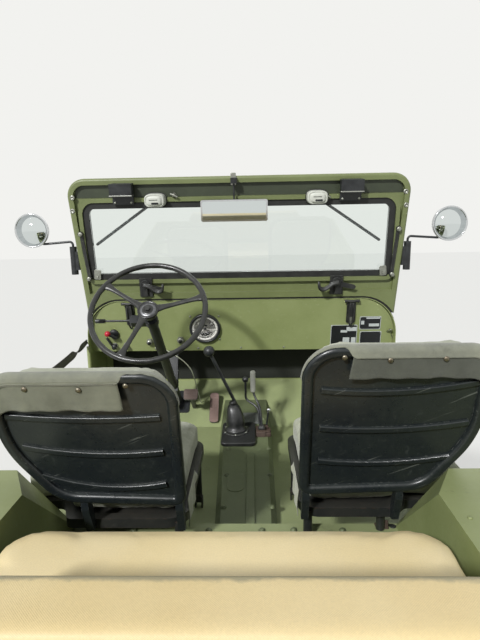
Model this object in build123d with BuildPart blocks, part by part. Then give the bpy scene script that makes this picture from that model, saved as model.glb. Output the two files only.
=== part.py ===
from build123d import *
import math
import os

os.makedirs("parts", exist_ok=True)

# Open body of a military 4x4 car. Millimetres. X to the car's right, Y forward, Z up.
# The origin is on the centre plane, midway along the body, at the underside of its cross channels.

# Tub
half_length = 1030.0
half_width = 700.0
sheet = 3.0
channel_height = 60.0
floor_top = channel_height + sheet
rear_floor_top = 200.0
riser_y = -163.0
rim_z = 545.0
rim_tube_r = 9.0
sill_z = 110.0
skirt_z = 20.0
bead_r = 9.0
bead_rise = 5.0

# Cowl, dash and toe-board
cowl_rear_y = 778.0
cowl_top = 680.0
cowl_front_top = 640.0
cowl_shoulder_r = 160.0
cowl_side_z = 470.0
dash_bottom_y = 829.0
dash_bottom_z = 433.0
dash_flange = 18.0
toe_bottom_y = 800.0
toe_top_z = 222.0

# Battery box under the cowl's lid
battery_x = (236.0, 526.0)
battery_length = 140.0
battery_front = half_length - 32
battery_y = (battery_front - battery_length, battery_front)
battery_depth = 190.0
lid_thickness = 10.0
lid_overlap = 12.0
lid_pin_r = 3.0

# Windscreen
screen_y = 790.0
screen_rake = 7.8
screen_height = 532.0
screen_half_bottom = 693.0
screen_half_top = 720.0
screen_depth = 38.0
screen_corner_r = 75.0
screen_foot = 70.0
screen_gap = 11.0
edge_tube = 26.0
inner_flange = 17.0
opening_half = 661.0
opening_low = 100.0
opening_high = 434.0
seal_width = 26.0
pin_y = 818.0
pin_z = 692.0
pin_r = 5.0
knuckle_r = 9.0
hinge_x = 480.0

# Steering
hub_x = -316.0
hub_y = 330.0
hub_z = 713.0
column_tilt = 43.95
wheel_r = 205.0
rim_r = 9.0
hub_r = 34.0
shaft_r = 10.0
shaft_end_r = 9.0
jacket_r = 19.0
running = 0.05

# Seats
seat_half = 230.0
driver_x = -340.0
driver_y = -45.0
passenger_x = 400.0
passenger_y = 0.0
back_bottom_y = -262.0
back_bottom_z = 345.0
back_rake = 12.2
driver_back = 368.0
passenger_back = 412.0
seat_tube_r = 12.5
base_z = 280.0
base_rear_y = -235.0
base_front_y = 215.0
cushion_thickness = 70.0
back_pad_thickness = 66.0
seat_gap = 0.5
canvas = 3.0
rib_width = 15.0
rib_height = 8.0
rib_round = 3.5
back_outer = 178.0
pad_foot = 40.0
notch_x = 414.0
notch_y = -198.0

# Wheelhouses
wheelhouse_top = 440.0
wheelhouse_half = 447.0
wheelhouse_foot_half = 437.0
wheelhouse_front_y = -307.0
wheelhouse_corner = (63.0, 108.0)

# Rear bench
bench_half = 430.0
bench_top = 420.0
bench_depth = 380.0
bench_corner_r = 75.0
bench_thickness = 110.0
rest_bottom = 430.0
rest_top = 650.0
rest_room = 140.0
rest_front_y = rest_room - half_length
bench_rear_y = rest_front_y + 10
bench_front_y = bench_rear_y + bench_depth
rest_thickness = 90.0
rest_half = bench_half - 2
rest_pivot_y = rest_front_y - 30
rest_pivot_z = 462.0
rest_pin_r = 6.0
ear_r = 14.0
ear_x = rest_half + 2
ear_thickness = 4.0
bracket_x = wheelhouse_half + 3
bracket_sheet = 5.0
bracket_foot = 36.0

toe_slope = math.atan2(toe_top_z - floor_top, half_length - sheet - toe_bottom_y)
cowl_slope = math.atan2(cowl_top - cowl_front_top, half_length - cowl_rear_y)


# The steering turns about the column's raked axis, and its plane faces the driver
tilt = math.radians(column_tilt)
column_dir = Vector(0, math.cos(tilt), -math.sin(tilt))
wheel_plane = Plane(origin=(hub_x, hub_y, hub_z), x_dir=(1, 0, 0), z_dir=-column_dir)


def save(builder, name):
    """Label one finished piece and write it."""
    builder.part.label = name
    export_step(builder.part, f"parts/{name}.step")


def shape(*corners):
    """Flat shape from rows of (x, y, corner radius)."""
    with BuildSketch() as face:
        with BuildLine():
            FilletPolyline(*[(x, y) for x, y, r in corners], radius=[r for x, y, r in corners], close=True)
        make_face()
    return face.sketch


def polygon(*corners):
    """Flat shape with sharp corners from rows of (x, y)."""
    with BuildSketch() as face:
        with BuildLine():
            Polyline(*corners, close=True)
        make_face()
    return face.sketch


def cowl_top_at(y):
    """Height of the cowl's top at a place along the car."""
    return cowl_top - (y - cowl_rear_y) * math.tan(cowl_slope)


def toe_z(y):
    """Height of the toe-board's upper face."""
    return floor_top + (y - toe_bottom_y) * math.tan(toe_slope)


# Floor pan: front floor, toe-board, riser and rear floor in one pressing, with stiffening beads
with BuildPart() as floor_pan:
    with BuildSketch(Plane.YZ.offset(-half_width + sheet)):
        with BuildLine():
            Polyline(
                (riser_y, rear_floor_top),
                (riser_y, floor_top),
                (toe_bottom_y, floor_top),
                (half_length - sheet, toe_top_z),
                (half_length - sheet, toe_top_z - sheet / math.cos(toe_slope)),
                (toe_bottom_y + sheet * math.tan(toe_slope / 2), floor_top - sheet),
                (riser_y - sheet, floor_top - sheet),
                (riser_y - sheet, rear_floor_top - sheet),
                (riser_y - 20, rear_floor_top - sheet),
                (riser_y - 20, rear_floor_top),
                close=True,
            )
        make_face()
    extrude(amount=2 * (half_width - sheet))
    with BuildSketch(Plane.XY.offset(rear_floor_top - sheet)):
        with Locations((0, (riser_y - 20 - half_length + sheet) / 2)):
            Rectangle(2 * (wheelhouse_foot_half + 8), half_length - sheet + riser_y - 20)
    extrude(amount=sheet)
    for x in (-300, -166, -50, 50, 166, 300):
        with BuildSketch(Plane.XZ.offset(-riser_y + 60)):
            with Locations((x, rear_floor_top + bead_rise - bead_r)):
                Circle(bead_r)
            with Locations((x, rear_floor_top - 20)):
                Rectangle(2 * bead_r + 1, 40, mode=Mode.SUBTRACT)
        extrude(amount=half_length - sheet + riser_y - 100)
    for x in (-560, -460, 280, 380, 480, 580):
        with BuildSketch(Plane.XZ.offset(-toe_bottom_y + 60)):
            with Locations((x, floor_top + bead_rise - bead_r)):
                Circle(bead_r)
            with Locations((x, floor_top - 20)):
                Rectangle(2 * bead_r + 1, 40, mode=Mode.SUBTRACT)
        extrude(amount=420)
    with BuildSketch(wheel_plane.offset(-700)):
        Circle(jacket_r + 0.3)
    extrude(amount=-260, mode=Mode.SUBTRACT)
save(floor_pan, "floor_pan")


def side_panel(side, name):
    """Side skin with its door cut-out, wheel arch and rolled rim."""
    with BuildPart() as panel:
        with BuildSketch(Plane.YZ.offset(side * half_width)):
            add(shape(
                (half_length, toe_top_z - 40, 20),
                (half_length, cowl_side_z, 0),
                (cowl_rear_y, cowl_side_z, 0),
                (cowl_rear_y, sill_z, 130),
                (-150, sill_z, 90),
                (-150, rim_z, 45),
                (-half_length, rim_z, 0),
                (-half_length, skirt_z, 0),
                (-half_length + 70, skirt_z, 0),
                (-half_length + 70, 300, 110),
                (-330, 300, 110),
                (-330, skirt_z, 0),
                (toe_bottom_y - 20, skirt_z, 40),
            ))
        extrude(amount=-side * sheet)
        with BuildLine() as edge:
            FilletPolyline(
                (side * half_width, cowl_rear_y, cowl_side_z),
                (side * half_width, cowl_rear_y, sill_z),
                (side * half_width, -150, sill_z),
                (side * half_width, -150, rim_z),
                (side * half_width, -half_length + sheet, rim_z),
                radius=[130, 90, 45],
            )
        with BuildSketch(Plane(origin=edge.line @ 0, z_dir=edge.line % 0)):
            Circle(rim_tube_r)
        sweep()
    save(panel, name)


side_panel(1, "side_panel_right")
side_panel(-1, "side_panel_left")


def wheelhouse_block(side, inset):
    """Tapered box over a rear wheel, set in by one wall for its inside."""
    far = half_width - sheet
    back = -half_length + sheet
    cx, cy = wheelhouse_corner
    rows = (
        (rear_floor_top - (20 if inset else 0), wheelhouse_foot_half, riser_y, 0.12),
        (wheelhouse_top - inset, wheelhouse_half, wheelhouse_front_y, 1.0),
    )
    with BuildPart() as box:
        for z, inner, front, chamfer_share in rows:
            x0 = inner + inset
            y1 = front - inset
            with BuildSketch(Plane.XY.offset(z)):
                with BuildLine():
                    Polyline(
                        (side * x0, back),
                        (side * x0, y1 - cy * chamfer_share),
                        (side * (x0 + cx * chamfer_share), y1),
                        (side * far, y1),
                        (side * far, back),
                        close=True,
                    )
                make_face()
        loft(ruled=True)
    return box.part


# Each wheelhouse carries a bracket with the pin that the rear backrest turns on
for side, name in ((1, "wheelhouse_right"), (-1, "wheelhouse_left")):
    with BuildPart() as wheelhouse:
        add(wheelhouse_block(side, 0))
        add(wheelhouse_block(side, sheet), mode=Mode.SUBTRACT)
        with BuildSketch(Plane.YZ.offset(side * bracket_x)):
            with Locations((rest_pivot_y, rest_pivot_z)):
                Circle(ear_r)
            with Locations((rest_pivot_y, (rest_pivot_z + wheelhouse_top) / 2)):
                Rectangle(2 * ear_r, rest_pivot_z - wheelhouse_top)
        extrude(amount=side * bracket_sheet)
        with BuildSketch(Plane.XY.offset(wheelhouse_top)):
            with Locations((side * (bracket_x + bracket_foot / 2), rest_pivot_y)):
                Rectangle(bracket_foot, 50)
        extrude(amount=bracket_sheet)
        with BuildSketch(Plane.YZ.offset(side * (ear_x - 1))):
            with Locations((rest_pivot_y, rest_pivot_z)):
                Circle(rest_pin_r)
        extrude(amount=side * (bracket_x - ear_x + bracket_sheet))
    save(wheelhouse, name)

# Rear panel: outer skin, top tube, two swages and the folded lower edge the tub stands on
with BuildPart() as rear_panel:
    with BuildSketch(Plane.XZ.offset(half_length)):
        with Locations((0, rim_z / 2)):
            Rectangle(2 * (half_width - sheet), rim_z)
    extrude(amount=-sheet)
    with BuildSketch(Plane.XY):
        with Locations((0, -half_length + 20)):
            Rectangle(2 * (half_width - sheet), 40)
    extrude(amount=sheet)
    with BuildSketch(Plane.YZ.offset(-half_width + rim_tube_r + sheet)):
        with Locations((-half_length + rim_tube_r, rim_z)):
            Circle(rim_tube_r)
    extrude(amount=2 * (half_width - rim_tube_r - sheet))
save(rear_panel, "rear_panel")


def cowl_block(front_y, inset):
    """Solid under the cowl's arch from its rear edge to a place ahead, set in by one wall."""
    r = cowl_shoulder_r - inset
    with BuildPart() as block:
        for y, top in ((cowl_rear_y, cowl_top), (front_y, cowl_top_at(front_y))):
            with BuildSketch(Plane.XZ.offset(-y)):
                add(shape(
                    (-half_width + inset, cowl_side_z, 0),
                    (-half_width + inset, top - inset, r),
                    (half_width - inset, top - inset, r),
                    (half_width - inset, cowl_side_z, 0),
                ))
        loft(ruled=True)
    return block.part


# Cowl: arched top with wide shoulders, front wall and battery opening
with BuildPart() as cowl:
    add(cowl_block(half_length, 0))
    add(cowl_block(half_length - sheet, sheet), mode=Mode.SUBTRACT)
    with BuildSketch(Plane.XY.offset(cowl_side_z + sheet + 20)):
        with Locations((sum(battery_x) / 2, sum(battery_y) / 2)):
            RectangleRounded(battery_x[1] - battery_x[0], battery_y[1] - battery_y[0], 15)
    extrude(amount=cowl_top, mode=Mode.SUBTRACT)
save(cowl, "cowl")

# Firewall between the cowl and the toe-board
with BuildPart() as firewall:
    with BuildSketch(Plane.XZ.offset(-half_length)):
        with Locations((0, (cowl_side_z + toe_top_z) / 2)):
            Rectangle(2 * (half_width - sheet), cowl_side_z - toe_top_z)
    extrude(amount=sheet)
save(firewall, "firewall")

# Battery box hung in the cowl's opening
with BuildPart() as battery_box:
    inner_w = battery_x[1] - battery_x[0]
    inner_d = battery_y[1] - battery_y[0]
    centre = (sum(battery_x) / 2, sum(battery_y) / 2)
    box_z = cowl_top - battery_depth
    lip = sheet / math.cos(cowl_slope) + 0.3
    with BuildSketch(Plane.XY.offset(box_z)):
        with Locations(centre):
            RectangleRounded(inner_w + 2 * sheet, inner_d + 2 * sheet, 15)
    extrude(amount=battery_depth)
    with BuildSketch(Plane.XY.offset(box_z + sheet)):
        with Locations(centre):
            RectangleRounded(inner_w, inner_d, 12)
    extrude(amount=battery_depth, mode=Mode.SUBTRACT)
    with BuildSketch(Plane.YZ):
        add(polygon(
            (cowl_rear_y, cowl_top - lip),
            (half_length, cowl_front_top - lip),
            (half_length, cowl_top + 10),
            (cowl_rear_y, cowl_top + 10),
        ))
    extrude(amount=half_width, mode=Mode.SUBTRACT)
save(battery_box, "battery_box")

# Dash: flat sloping panel with rounded upper corners and a folded lower flange
dash_length = math.hypot(dash_bottom_y - cowl_rear_y, cowl_top - sheet - dash_bottom_z)
dash_tilt = math.atan2(dash_bottom_y - cowl_rear_y, cowl_top - sheet - dash_bottom_z)
dash_half = half_width - sheet - 0.4
dash_plane = Plane(
    origin=(0, dash_bottom_y, dash_bottom_z),
    x_dir=(1, 0, 0),
    z_dir=(0, -math.cos(dash_tilt), -math.sin(dash_tilt)),
)
dash_r = cowl_shoulder_r - sheet + 8


def dash_height(z):
    """Distance up the dash from its lower edge for a height above the base."""
    return (z - dash_bottom_z) / math.cos(dash_tilt)


with BuildPart() as dash_panel:
    with BuildSketch(dash_plane):
        add(shape(
            (-dash_half, 0, 0),
            (-dash_half, dash_length - 1.8, dash_r),
            (dash_half, dash_length - 1.8, dash_r),
            (dash_half, 0, 0),
        ))
    extrude(amount=-sheet)
    with BuildSketch(Plane.XY.offset(dash_bottom_z)):
        with Locations((0, dash_bottom_y + dash_flange / 2)):
            Rectangle(2 * dash_half, dash_flange)
    extrude(amount=sheet)
save(dash_panel, "dash_panel")

# Cross channels under the floors, hat sections with body bolt holes
channel_width = 60.0
channel_half = 600.0
channel_flange = 18.0
bolt_x = 360.0
bolt_r = 6.5
front_channel_y = (-100.0, 300.0, 700.0)
rear_channel_y = (-300.0, -900.0)


def hat_profile(y, top):
    """Hat section under a floor, seen along the car's width."""
    w = channel_width / 2
    wing = w + channel_flange
    low = top - channel_height
    return polygon(
        (y - wing, top),
        (y - w + sheet, top),
        (y - w + sheet, low + sheet),
        (y + w - sheet, low + sheet),
        (y + w - sheet, top),
        (y + wing, top),
        (y + wing, top - sheet),
        (y + w, top - sheet),
        (y + w, low),
        (y - w, low),
        (y - w, top - sheet),
        (y - wing, top - sheet),
    )


# places along the car, height of the top, half-length
channel_rows = (
    (front_channel_y, channel_height, channel_half),
    (rear_channel_y, rear_floor_top - sheet, wheelhouse_foot_half - 10),
)
with BuildPart() as cross_channels:
    for places, top, half in channel_rows:
        for y in places:
            with BuildSketch(Plane.YZ.offset(-half)):
                add(hat_profile(y, top))
            extrude(amount=2 * half)
            with Locations((-bolt_x, y, top - channel_height), (bolt_x, y, top - channel_height)):
                Cylinder(bolt_r, 3 * sheet, mode=Mode.SUBTRACT)
save(cross_channels, "cross_channels")

# Windscreen frame, built in its own raked plane: u across, v up the frame, depth towards the rear
rake = math.radians(screen_rake)
screen_plane = Plane(
    origin=(0, screen_y, cowl_top),
    x_dir=(1, 0, 0),
    z_dir=(0, -math.cos(rake), -math.sin(rake)),
)
half_depth = screen_depth / 2
screen_rim_r = 11.0
foot_half = screen_half_bottom - (screen_half_top - screen_half_bottom) * screen_foot / screen_height


def screen_outline(inset):
    """Outer shape of the frame, narrower at the foot, set in by one border."""
    r = screen_corner_r - inset
    return shape(
        (-foot_half + inset, -screen_foot - 20, 0),
        (-screen_half_top + inset, screen_height - inset, r),
        (screen_half_top - inset, screen_height - inset, r),
        (foot_half - inset, -screen_foot - 20, 0),
    )


def screen_opening(grow):
    """Glass frame's opening with large upper and small lower corners."""
    return shape(
        (-opening_half - grow, opening_low - grow, 27 + grow),
        (-opening_half - grow, opening_high + grow, 50 + grow),
        (opening_half + grow, opening_high + grow, 50 + grow),
        (opening_half + grow, opening_low - grow, 27 + grow),
    )


def cowl_arch(gap):
    """Cowl's arch as the frame's lower edge follows it, grown by a gap."""
    return shape(
        (-half_width - gap, -400, 0),
        (-half_width - gap, gap, cowl_shoulder_r + gap),
        (half_width + gap, gap, cowl_shoulder_r + gap),
        (half_width + gap, -400, 0),
    )


with BuildPart() as windscreen_frame:
    with BuildSketch(screen_plane.offset(-half_depth)):
        add(screen_outline(0))
    extrude(amount=screen_depth)
    rim_faces = windscreen_frame.faces().sort_by(Axis(screen_plane.origin, screen_plane.z_dir))
    for face in (rim_faces[0], rim_faces[-1]):
        fillet(face.edges().sort_by(Axis.Z)[1:], screen_rim_r)
    with BuildSketch(screen_plane.offset(-half_depth)):
        add(cowl_arch(screen_gap))
        with Locations((0, -screen_foot - 50)):
            Rectangle(3 * half_width, 100)
        add(screen_opening(0))
    extrude(amount=screen_depth, mode=Mode.SUBTRACT)
    with BuildSketch(screen_plane.offset(half_depth)):
        add(screen_outline(edge_tube))
        with Locations((0, screen_gap + edge_tube - 200)):
            Rectangle(3 * half_width, 400, mode=Mode.SUBTRACT)
        add(screen_opening(inner_flange), mode=Mode.SUBTRACT)
    extrude(amount=-16, mode=Mode.SUBTRACT)
    for side in (-1, 1):
        # hinge leaf on the front face, with its knuckle between the cowl's lugs
        with BuildSketch(screen_plane.offset(-half_depth)):
            with Locations((side * hinge_x, 46)):
                Rectangle(70, 36)
        extrude(amount=-sheet)
        with BuildSketch(Plane.YZ.offset(side * hinge_x - 11)):
            with Locations((pin_y, pin_z)):
                Circle(knuckle_r)
            add(polygon(
                (pin_y - knuckle_r, pin_z),
                (pin_y + knuckle_r, pin_z),
                (pin_y - 6, pin_z + 32),
                (pin_y - 17, pin_z + 32),
            ))
            with Locations((pin_y, pin_z)):
                Circle(pin_r + running, mode=Mode.SUBTRACT)
        extrude(amount=22)
save(windscreen_frame, "windscreen_frame")

# Rubber strip under the frame
with BuildPart() as windscreen_seal:
    with BuildSketch(screen_plane.offset(-12)):
        add(cowl_arch(screen_gap))
        add(cowl_arch(screen_gap - 7), mode=Mode.SUBTRACT)
        with Locations((0, 200 - screen_foot)):
            Rectangle(2 * foot_half, 400, mode=Mode.INTERSECT)
    extrude(amount=24)
save(windscreen_seal, "windscreen_seal")

# Glass frame with its black seal, and the pane
with BuildPart() as glass_frame:
    with BuildSketch(screen_plane.offset(-12)):
        add(screen_opening(-0.3))
        add(screen_opening(-seal_width), mode=Mode.SUBTRACT)
    extrude(amount=24)
save(glass_frame, "glass_frame")

with BuildPart() as windscreen_glass:
    with BuildSketch(screen_plane.offset(-3)):
        add(screen_opening(-seal_width - 0.2))
    extrude(amount=6)
save(windscreen_glass, "windscreen_glass")

lid_pin_y = battery_front + 19
lid_pin_z = cowl_top_at(lid_pin_y) + 8.6
lid_knuckle_r = 6.5
lug_foot = cowl_top_at(lid_pin_y - lid_knuckle_r) + 0.3
lid_hinge_x = (sum(battery_x) / 2 - 95, sum(battery_x) / 2 + 95)

# Cowl halves of the windscreen's and the battery lid's hinges: lugs and pins
with BuildPart() as screen_hinges:
    for side in (-1, 1):
        for lug_start in (-30, 12):
            with BuildSketch(Plane.YZ.offset(side * hinge_x + lug_start)):
                with Locations((pin_y, pin_z)):
                    Circle(knuckle_r)
                with BuildLine():
                    Polyline(
                        (pin_y - knuckle_r, pin_z),
                        (pin_y - knuckle_r, cowl_top_at(pin_y - knuckle_r) + 0.02),
                        (pin_y + 22, cowl_top_at(pin_y + 22) + 0.02),
                        (pin_y + 22, cowl_top_at(pin_y + 22) + 5),
                        (pin_y + knuckle_r, pin_z),
                        close=True,
                    )
                make_face()
            extrude(amount=18)
        with BuildSketch(Plane.YZ.offset(side * hinge_x - 30)):
            with Locations((pin_y, pin_z)):
                Circle(pin_r)
        extrude(amount=60)
    for x in lid_hinge_x:
        for plate in (-23, 13):
            with BuildSketch(Plane.YZ.offset(x + plate)):
                with Locations((lid_pin_y, lid_pin_z)):
                    Circle(lid_knuckle_r)
                with Locations((lid_pin_y, (lid_pin_z + lug_foot) / 2)):
                    Rectangle(2 * lid_knuckle_r, lid_pin_z - lug_foot)
            extrude(amount=10)
        with BuildSketch(Plane.YZ.offset(x - 23)):
            with Locations((lid_pin_y, lid_pin_z)):
                Circle(lid_pin_r)
        extrude(amount=46)
save(screen_hinges, "screen_hinges")

def screen_v(z):
    """Distance up the windscreen for a height above the base."""
    return (z - cowl_top) / math.cos(rake)


# Wiper motors: oval covers on the frame's inner flange
motor_x = (-346.0, 331.0)
motor_z = 1116.0
with BuildPart() as wiper_motors:
    for x in motor_x:
        with BuildSketch(screen_plane.offset(half_depth)):
            with Locations((x, screen_v(motor_z))):
                Ellipse(46, 32)
        extrude(amount=54)
    fillet(wiper_motors.faces().group_by(Axis((0, 0, 0), screen_plane.z_dir))[-1].edges(), 14)
save(wiper_motors, "wiper_motors")

# Wipers on the outside: spindle, arm and blade
blade_length = 300.0
arm_length = 190.0
with BuildPart() as wipers:
    for x, swing in zip(motor_x, (-146, -34)):
        v = screen_v(motor_z)
        spin = math.radians(swing)
        tip = (x + arm_length * math.cos(spin), v + arm_length * math.sin(spin))
        with BuildSketch(screen_plane.offset(-half_depth)):
            with Locations((x, v)):
                Circle(7)
        extrude(amount=-16)
        with BuildSketch(screen_plane.offset(-half_depth - 12)):
            with Locations(((x + tip[0]) / 2, (v + tip[1]) / 2)):
                SlotOverall(arm_length + 14, 10, rotation=swing)
        extrude(amount=-4)
        with BuildSketch(screen_plane.offset(-half_depth - 14)):
            with Locations(tip):
                SlotOverall(blade_length, 12, rotation=swing)
        extrude(amount=10)
save(wipers, "wipers")

# Dark blocks clamped to the upper rail
block_x = (-477.0, 466.0)
with BuildPart() as visor_blocks:
    for x in block_x:
        with BuildSketch(screen_plane.offset(half_depth)):
            with Locations((x, screen_v(1145))):
                Rectangle(88, 86)
        extrude(amount=14)
        with BuildSketch(screen_plane.offset(half_depth + 14)):
            with Locations((x, screen_v(1164))):
                Rectangle(92, 46)
        extrude(amount=34)
save(visor_blocks, "visor_blocks")

# Rear-view mirror hung from the upper rail by a thin rod
with BuildPart() as rear_view_mirror:
    with BuildSketch(screen_plane.offset(half_depth)):
        with Locations((-14, screen_v(1190))):
            Rectangle(26, 22)
    extrude(amount=30)
    with BuildSketch(Plane.XY.offset(1080)):
        with Locations((-14, screen_y - 100)):
            Circle(3.5)
    extrude(amount=105)
    with BuildSketch(screen_plane.offset(half_depth + 24)):
        with Locations((-14, screen_v(1073))):
            RectangleRounded(276, 88, 8)
    extrude(amount=16)
save(rear_view_mirror, "rear_view_mirror")

# Round side mirrors on bent arms, clamped to the frame's sides
mirror_x = 896.0
mirror_y = 742.0
mirror_z = 998.0
mirror_r = 73.0
arm_r = 5.0
clamp_r = 15.0
clamp_low = 804.0
clamp_high = 926.0
clamp_y = 762.0


def frame_half(z):
    """Half-width of the windscreen frame at a height above the base."""
    share = (screen_v(z) + screen_foot + 20) / (screen_height + screen_foot + 20)
    return foot_half + (screen_half_top - foot_half) * share


def side_mirror(side, name):
    """Clamp tube on the frame's side, bent arm and round head."""
    clamp_x = 727.0
    block = (clamp_low + 20, clamp_low + 100)
    with BuildPart() as mirror_part:
        with BuildSketch(Plane.XY.offset(clamp_low)):
            with Locations((side * clamp_x, clamp_y)):
                Circle(clamp_r)
        extrude(amount=clamp_high - clamp_low)
        with BuildSketch(Plane.XZ.offset(-clamp_y)):
            add(polygon(
                (side * (frame_half(block[0]) + 0.3), block[0]),
                (side * clamp_x, block[0]),
                (side * clamp_x, block[1]),
                (side * (frame_half(block[1]) + 0.3), block[1]),
            ))
        extrude(amount=11, both=True)
        with BuildLine() as route:
            FilletPolyline(
                (side * clamp_x, clamp_y, clamp_high - 1),
                (side * clamp_x, clamp_y, clamp_high + 22),
                (side * (mirror_x - 30), clamp_y, clamp_high + 12),
                (side * mirror_x, clamp_y + 14, mirror_z - 20),
                radius=[14, 30],
            )
        with BuildSketch(Plane(origin=route.line @ 0, z_dir=route.line % 0)):
            Circle(arm_r)
        sweep()
        with BuildSketch(Plane.XZ.offset(-mirror_y)):
            with Locations((side * mirror_x, mirror_z)):
                Circle(mirror_r)
        extrude(amount=-12)
        with BuildSketch(Plane.XZ.offset(-mirror_y - 12)):
            with Locations((side * mirror_x, mirror_z)):
                Circle(mirror_r - 2)
        extrude(amount=-16, taper=50)
        with BuildSketch(Plane.XZ.offset(-mirror_y)):
            with Locations((side * mirror_x, mirror_z)):
                Circle(mirror_r - 6)
        extrude(amount=-2, mode=Mode.SUBTRACT)
    save(mirror_part, name)


side_mirror(1, "side_mirror_right")
side_mirror(-1, "side_mirror_left")

# Catches that hold the glass frame shut
with BuildPart() as screen_catches:
    for side, x in ((-1, -414.0), (1, 425.0)):
        with BuildSketch(screen_plane.offset(half_depth)):
            with Locations((x, 66)):
                Rectangle(56, 84)
        extrude(amount=8)
        with BuildSketch(screen_plane.offset(half_depth + 8)):
            with Locations((x, 82)):
                Circle(18)
        extrude(amount=16)
        with BuildSketch(screen_plane.offset(half_depth + 16)):
            with Locations((x + 44, 66)):
                SlotOverall(76, 20, rotation=-14)
        extrude(amount=6)

    # slotted arms that hold the glass frame open
    for side in (-1, 1):
        with BuildSketch(screen_plane.offset(half_depth)):
            with Locations((side * 668, 208)):
                SlotOverall(210, 14, rotation=90 - side * 4)
        extrude(amount=5)
        with BuildSketch(screen_plane.offset(half_depth)):
            with Locations((side * 676, 306), (side * 661, 110)):
                Circle(11)
        extrude(amount=12)
save(screen_catches, "screen_catches")

# Toggle clamps on the dash that hold the windscreen upright
clamp_dash_x = (-500.0, 498.0)
with BuildPart() as screen_clamps:
    for x in clamp_dash_x:
        with BuildSketch(dash_plane):
            with Locations((x, dash_height(612))):
                RectangleRounded(40, 100, 8)
        extrude(amount=6)
        with BuildSketch(dash_plane.offset(6)):
            with Locations((x, dash_height(605))):
                SlotOverall(116, 22, rotation=90)
            with Locations((x, dash_height(666))):
                SlotOverall(64, 14)
        extrude(amount=12)
save(screen_clamps, "screen_clamps")

# Instrument cluster and dash controls
cluster_x = -163.0
cluster_z = 545.0
cluster_r = 71.0
with BuildPart() as instrument_cluster:
    with BuildSketch(dash_plane):
        with Locations((cluster_x, dash_height(cluster_z))):
            Circle(cluster_r)
    extrude(amount=12)
    chamfer(instrument_cluster.faces().sort_by(Axis.Y)[0].edges(), 4)
    with BuildSketch(dash_plane.offset(12)):
        with Locations((cluster_x, dash_height(cluster_z))):
            Circle(cluster_r - 10)
    extrude(amount=-5, mode=Mode.SUBTRACT)
save(instrument_cluster, "instrument_cluster")

# Knob places: x, z, radius, length
knobs = (
    (-585.0, 464.0, 11.0, 22.0),
    (-534.0, 464.0, 11.0, 22.0),
    (-421.0, 482.0, 13.0, 18.0),
    (-281.0, 485.0, 15.0, 14.0),
)
with BuildPart() as dash_controls:
    for x, z, r, length in knobs:
        with BuildSketch(dash_plane):
            with Locations((x, dash_height(z))):
                Circle(r * 0.5)
        extrude(amount=length)
        with BuildSketch(dash_plane.offset(length - 8)):
            with Locations((x, dash_height(z))):
                Circle(r)
        extrude(amount=8)
    with BuildSketch(dash_plane):
        with Locations((-586.0, dash_height(522))):
            Circle(22)
    extrude(amount=14)
    with BuildSketch(dash_plane.offset(14)):
        with Locations((-578.0, dash_height(526))):
            SlotOverall(66, 14, rotation=-25)
    extrude(amount=8)
save(dash_controls, "dash_controls")

# Steering wheel: rim, three spokes and hub
jacket_start = 52.0
jacket_end = 905.0
shaft_end = 950.0
spoke_angles = (146.0, 16.0, 248.0)
spoke_root, spoke_waist, spoke_foot = 14.0, 8.5, 19.0



def spoke_shape():
    """One spoke along X, narrow in its middle and flared where it meets hub and rim."""
    with BuildSketch() as spoke:
        with BuildLine():
            ThreePointArc((hub_r - 8, spoke_root), (wheel_r * 0.5, spoke_waist), (wheel_r, spoke_foot))
            Line((wheel_r, spoke_foot), (wheel_r, -spoke_foot))
            ThreePointArc((wheel_r, -spoke_foot), (wheel_r * 0.5, -spoke_waist), (hub_r - 8, -spoke_root))
            Line((hub_r - 8, -spoke_root), (hub_r - 8, spoke_root))
        make_face()
    return spoke.sketch


with BuildPart() as steering_wheel:
    with BuildSketch(Plane(origin=wheel_plane.origin, x_dir=wheel_plane.z_dir, z_dir=(1, 0, 0))):
        with Locations((0, wheel_r)):
            Circle(rim_r)
    revolve(axis=Axis(wheel_plane.origin, wheel_plane.z_dir))
    with BuildSketch(wheel_plane.offset(-30)):
        Circle(hub_r - 6)
    extrude(amount=22)
    with BuildSketch(wheel_plane.offset(-8)):
        Circle(hub_r)
    extrude(amount=14)
    with BuildSketch(wheel_plane.offset(6)):
        RegularPolygon(14, 6)
    extrude(amount=9)
    for angle in spoke_angles:
        with BuildSketch(wheel_plane.offset(-7)):
            add(spoke_shape(), rotation=angle)
        extrude(amount=10)
    with BuildSketch(wheel_plane.offset(-30)):
        Circle(shaft_r)
    extrude(amount=30, mode=Mode.SUBTRACT)
save(steering_wheel, "steering_wheel")

with BuildPart() as steering_shaft:
    with BuildSketch(wheel_plane):
        Circle(shaft_r)
    extrude(amount=-jacket_end)
    with BuildSketch(wheel_plane.offset(-jacket_end)):
        Circle(shaft_end_r)
    extrude(amount=jacket_end - shaft_end)
save(steering_shaft, "steering_shaft")

# Column jacket with its toe-board plate and the dash bracket
with BuildPart() as steering_column:
    with BuildSketch(wheel_plane.offset(-jacket_start)):
        Circle(jacket_r)
    extrude(amount=jacket_start - jacket_end)
    toe_plane = Plane(
        origin=(hub_x, toe_bottom_y, floor_top),
        x_dir=(1, 0, 0),
        z_dir=(0, -math.sin(toe_slope), math.cos(toe_slope)),
    )
    with BuildSketch(toe_plane):
        with Locations((0, 144)):
            RectangleRounded(110, 130, 12)
    extrude(amount=4)
    with BuildSketch(Plane.YZ.offset(hub_x - 20)):
        with BuildLine():
            Polyline(
                (dash_bottom_y + 1, dash_bottom_z),
                (dash_bottom_y + dash_flange, dash_bottom_z),
                (dash_bottom_y - 30, 255),
                (dash_bottom_y - 60, 255),
                close=True,
            )
        make_face()
    extrude(amount=40)
    with BuildSketch(wheel_plane.offset(-jacket_start)):
        Circle(shaft_r + running)
    extrude(amount=jacket_start - shaft_end, mode=Mode.SUBTRACT)
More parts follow.
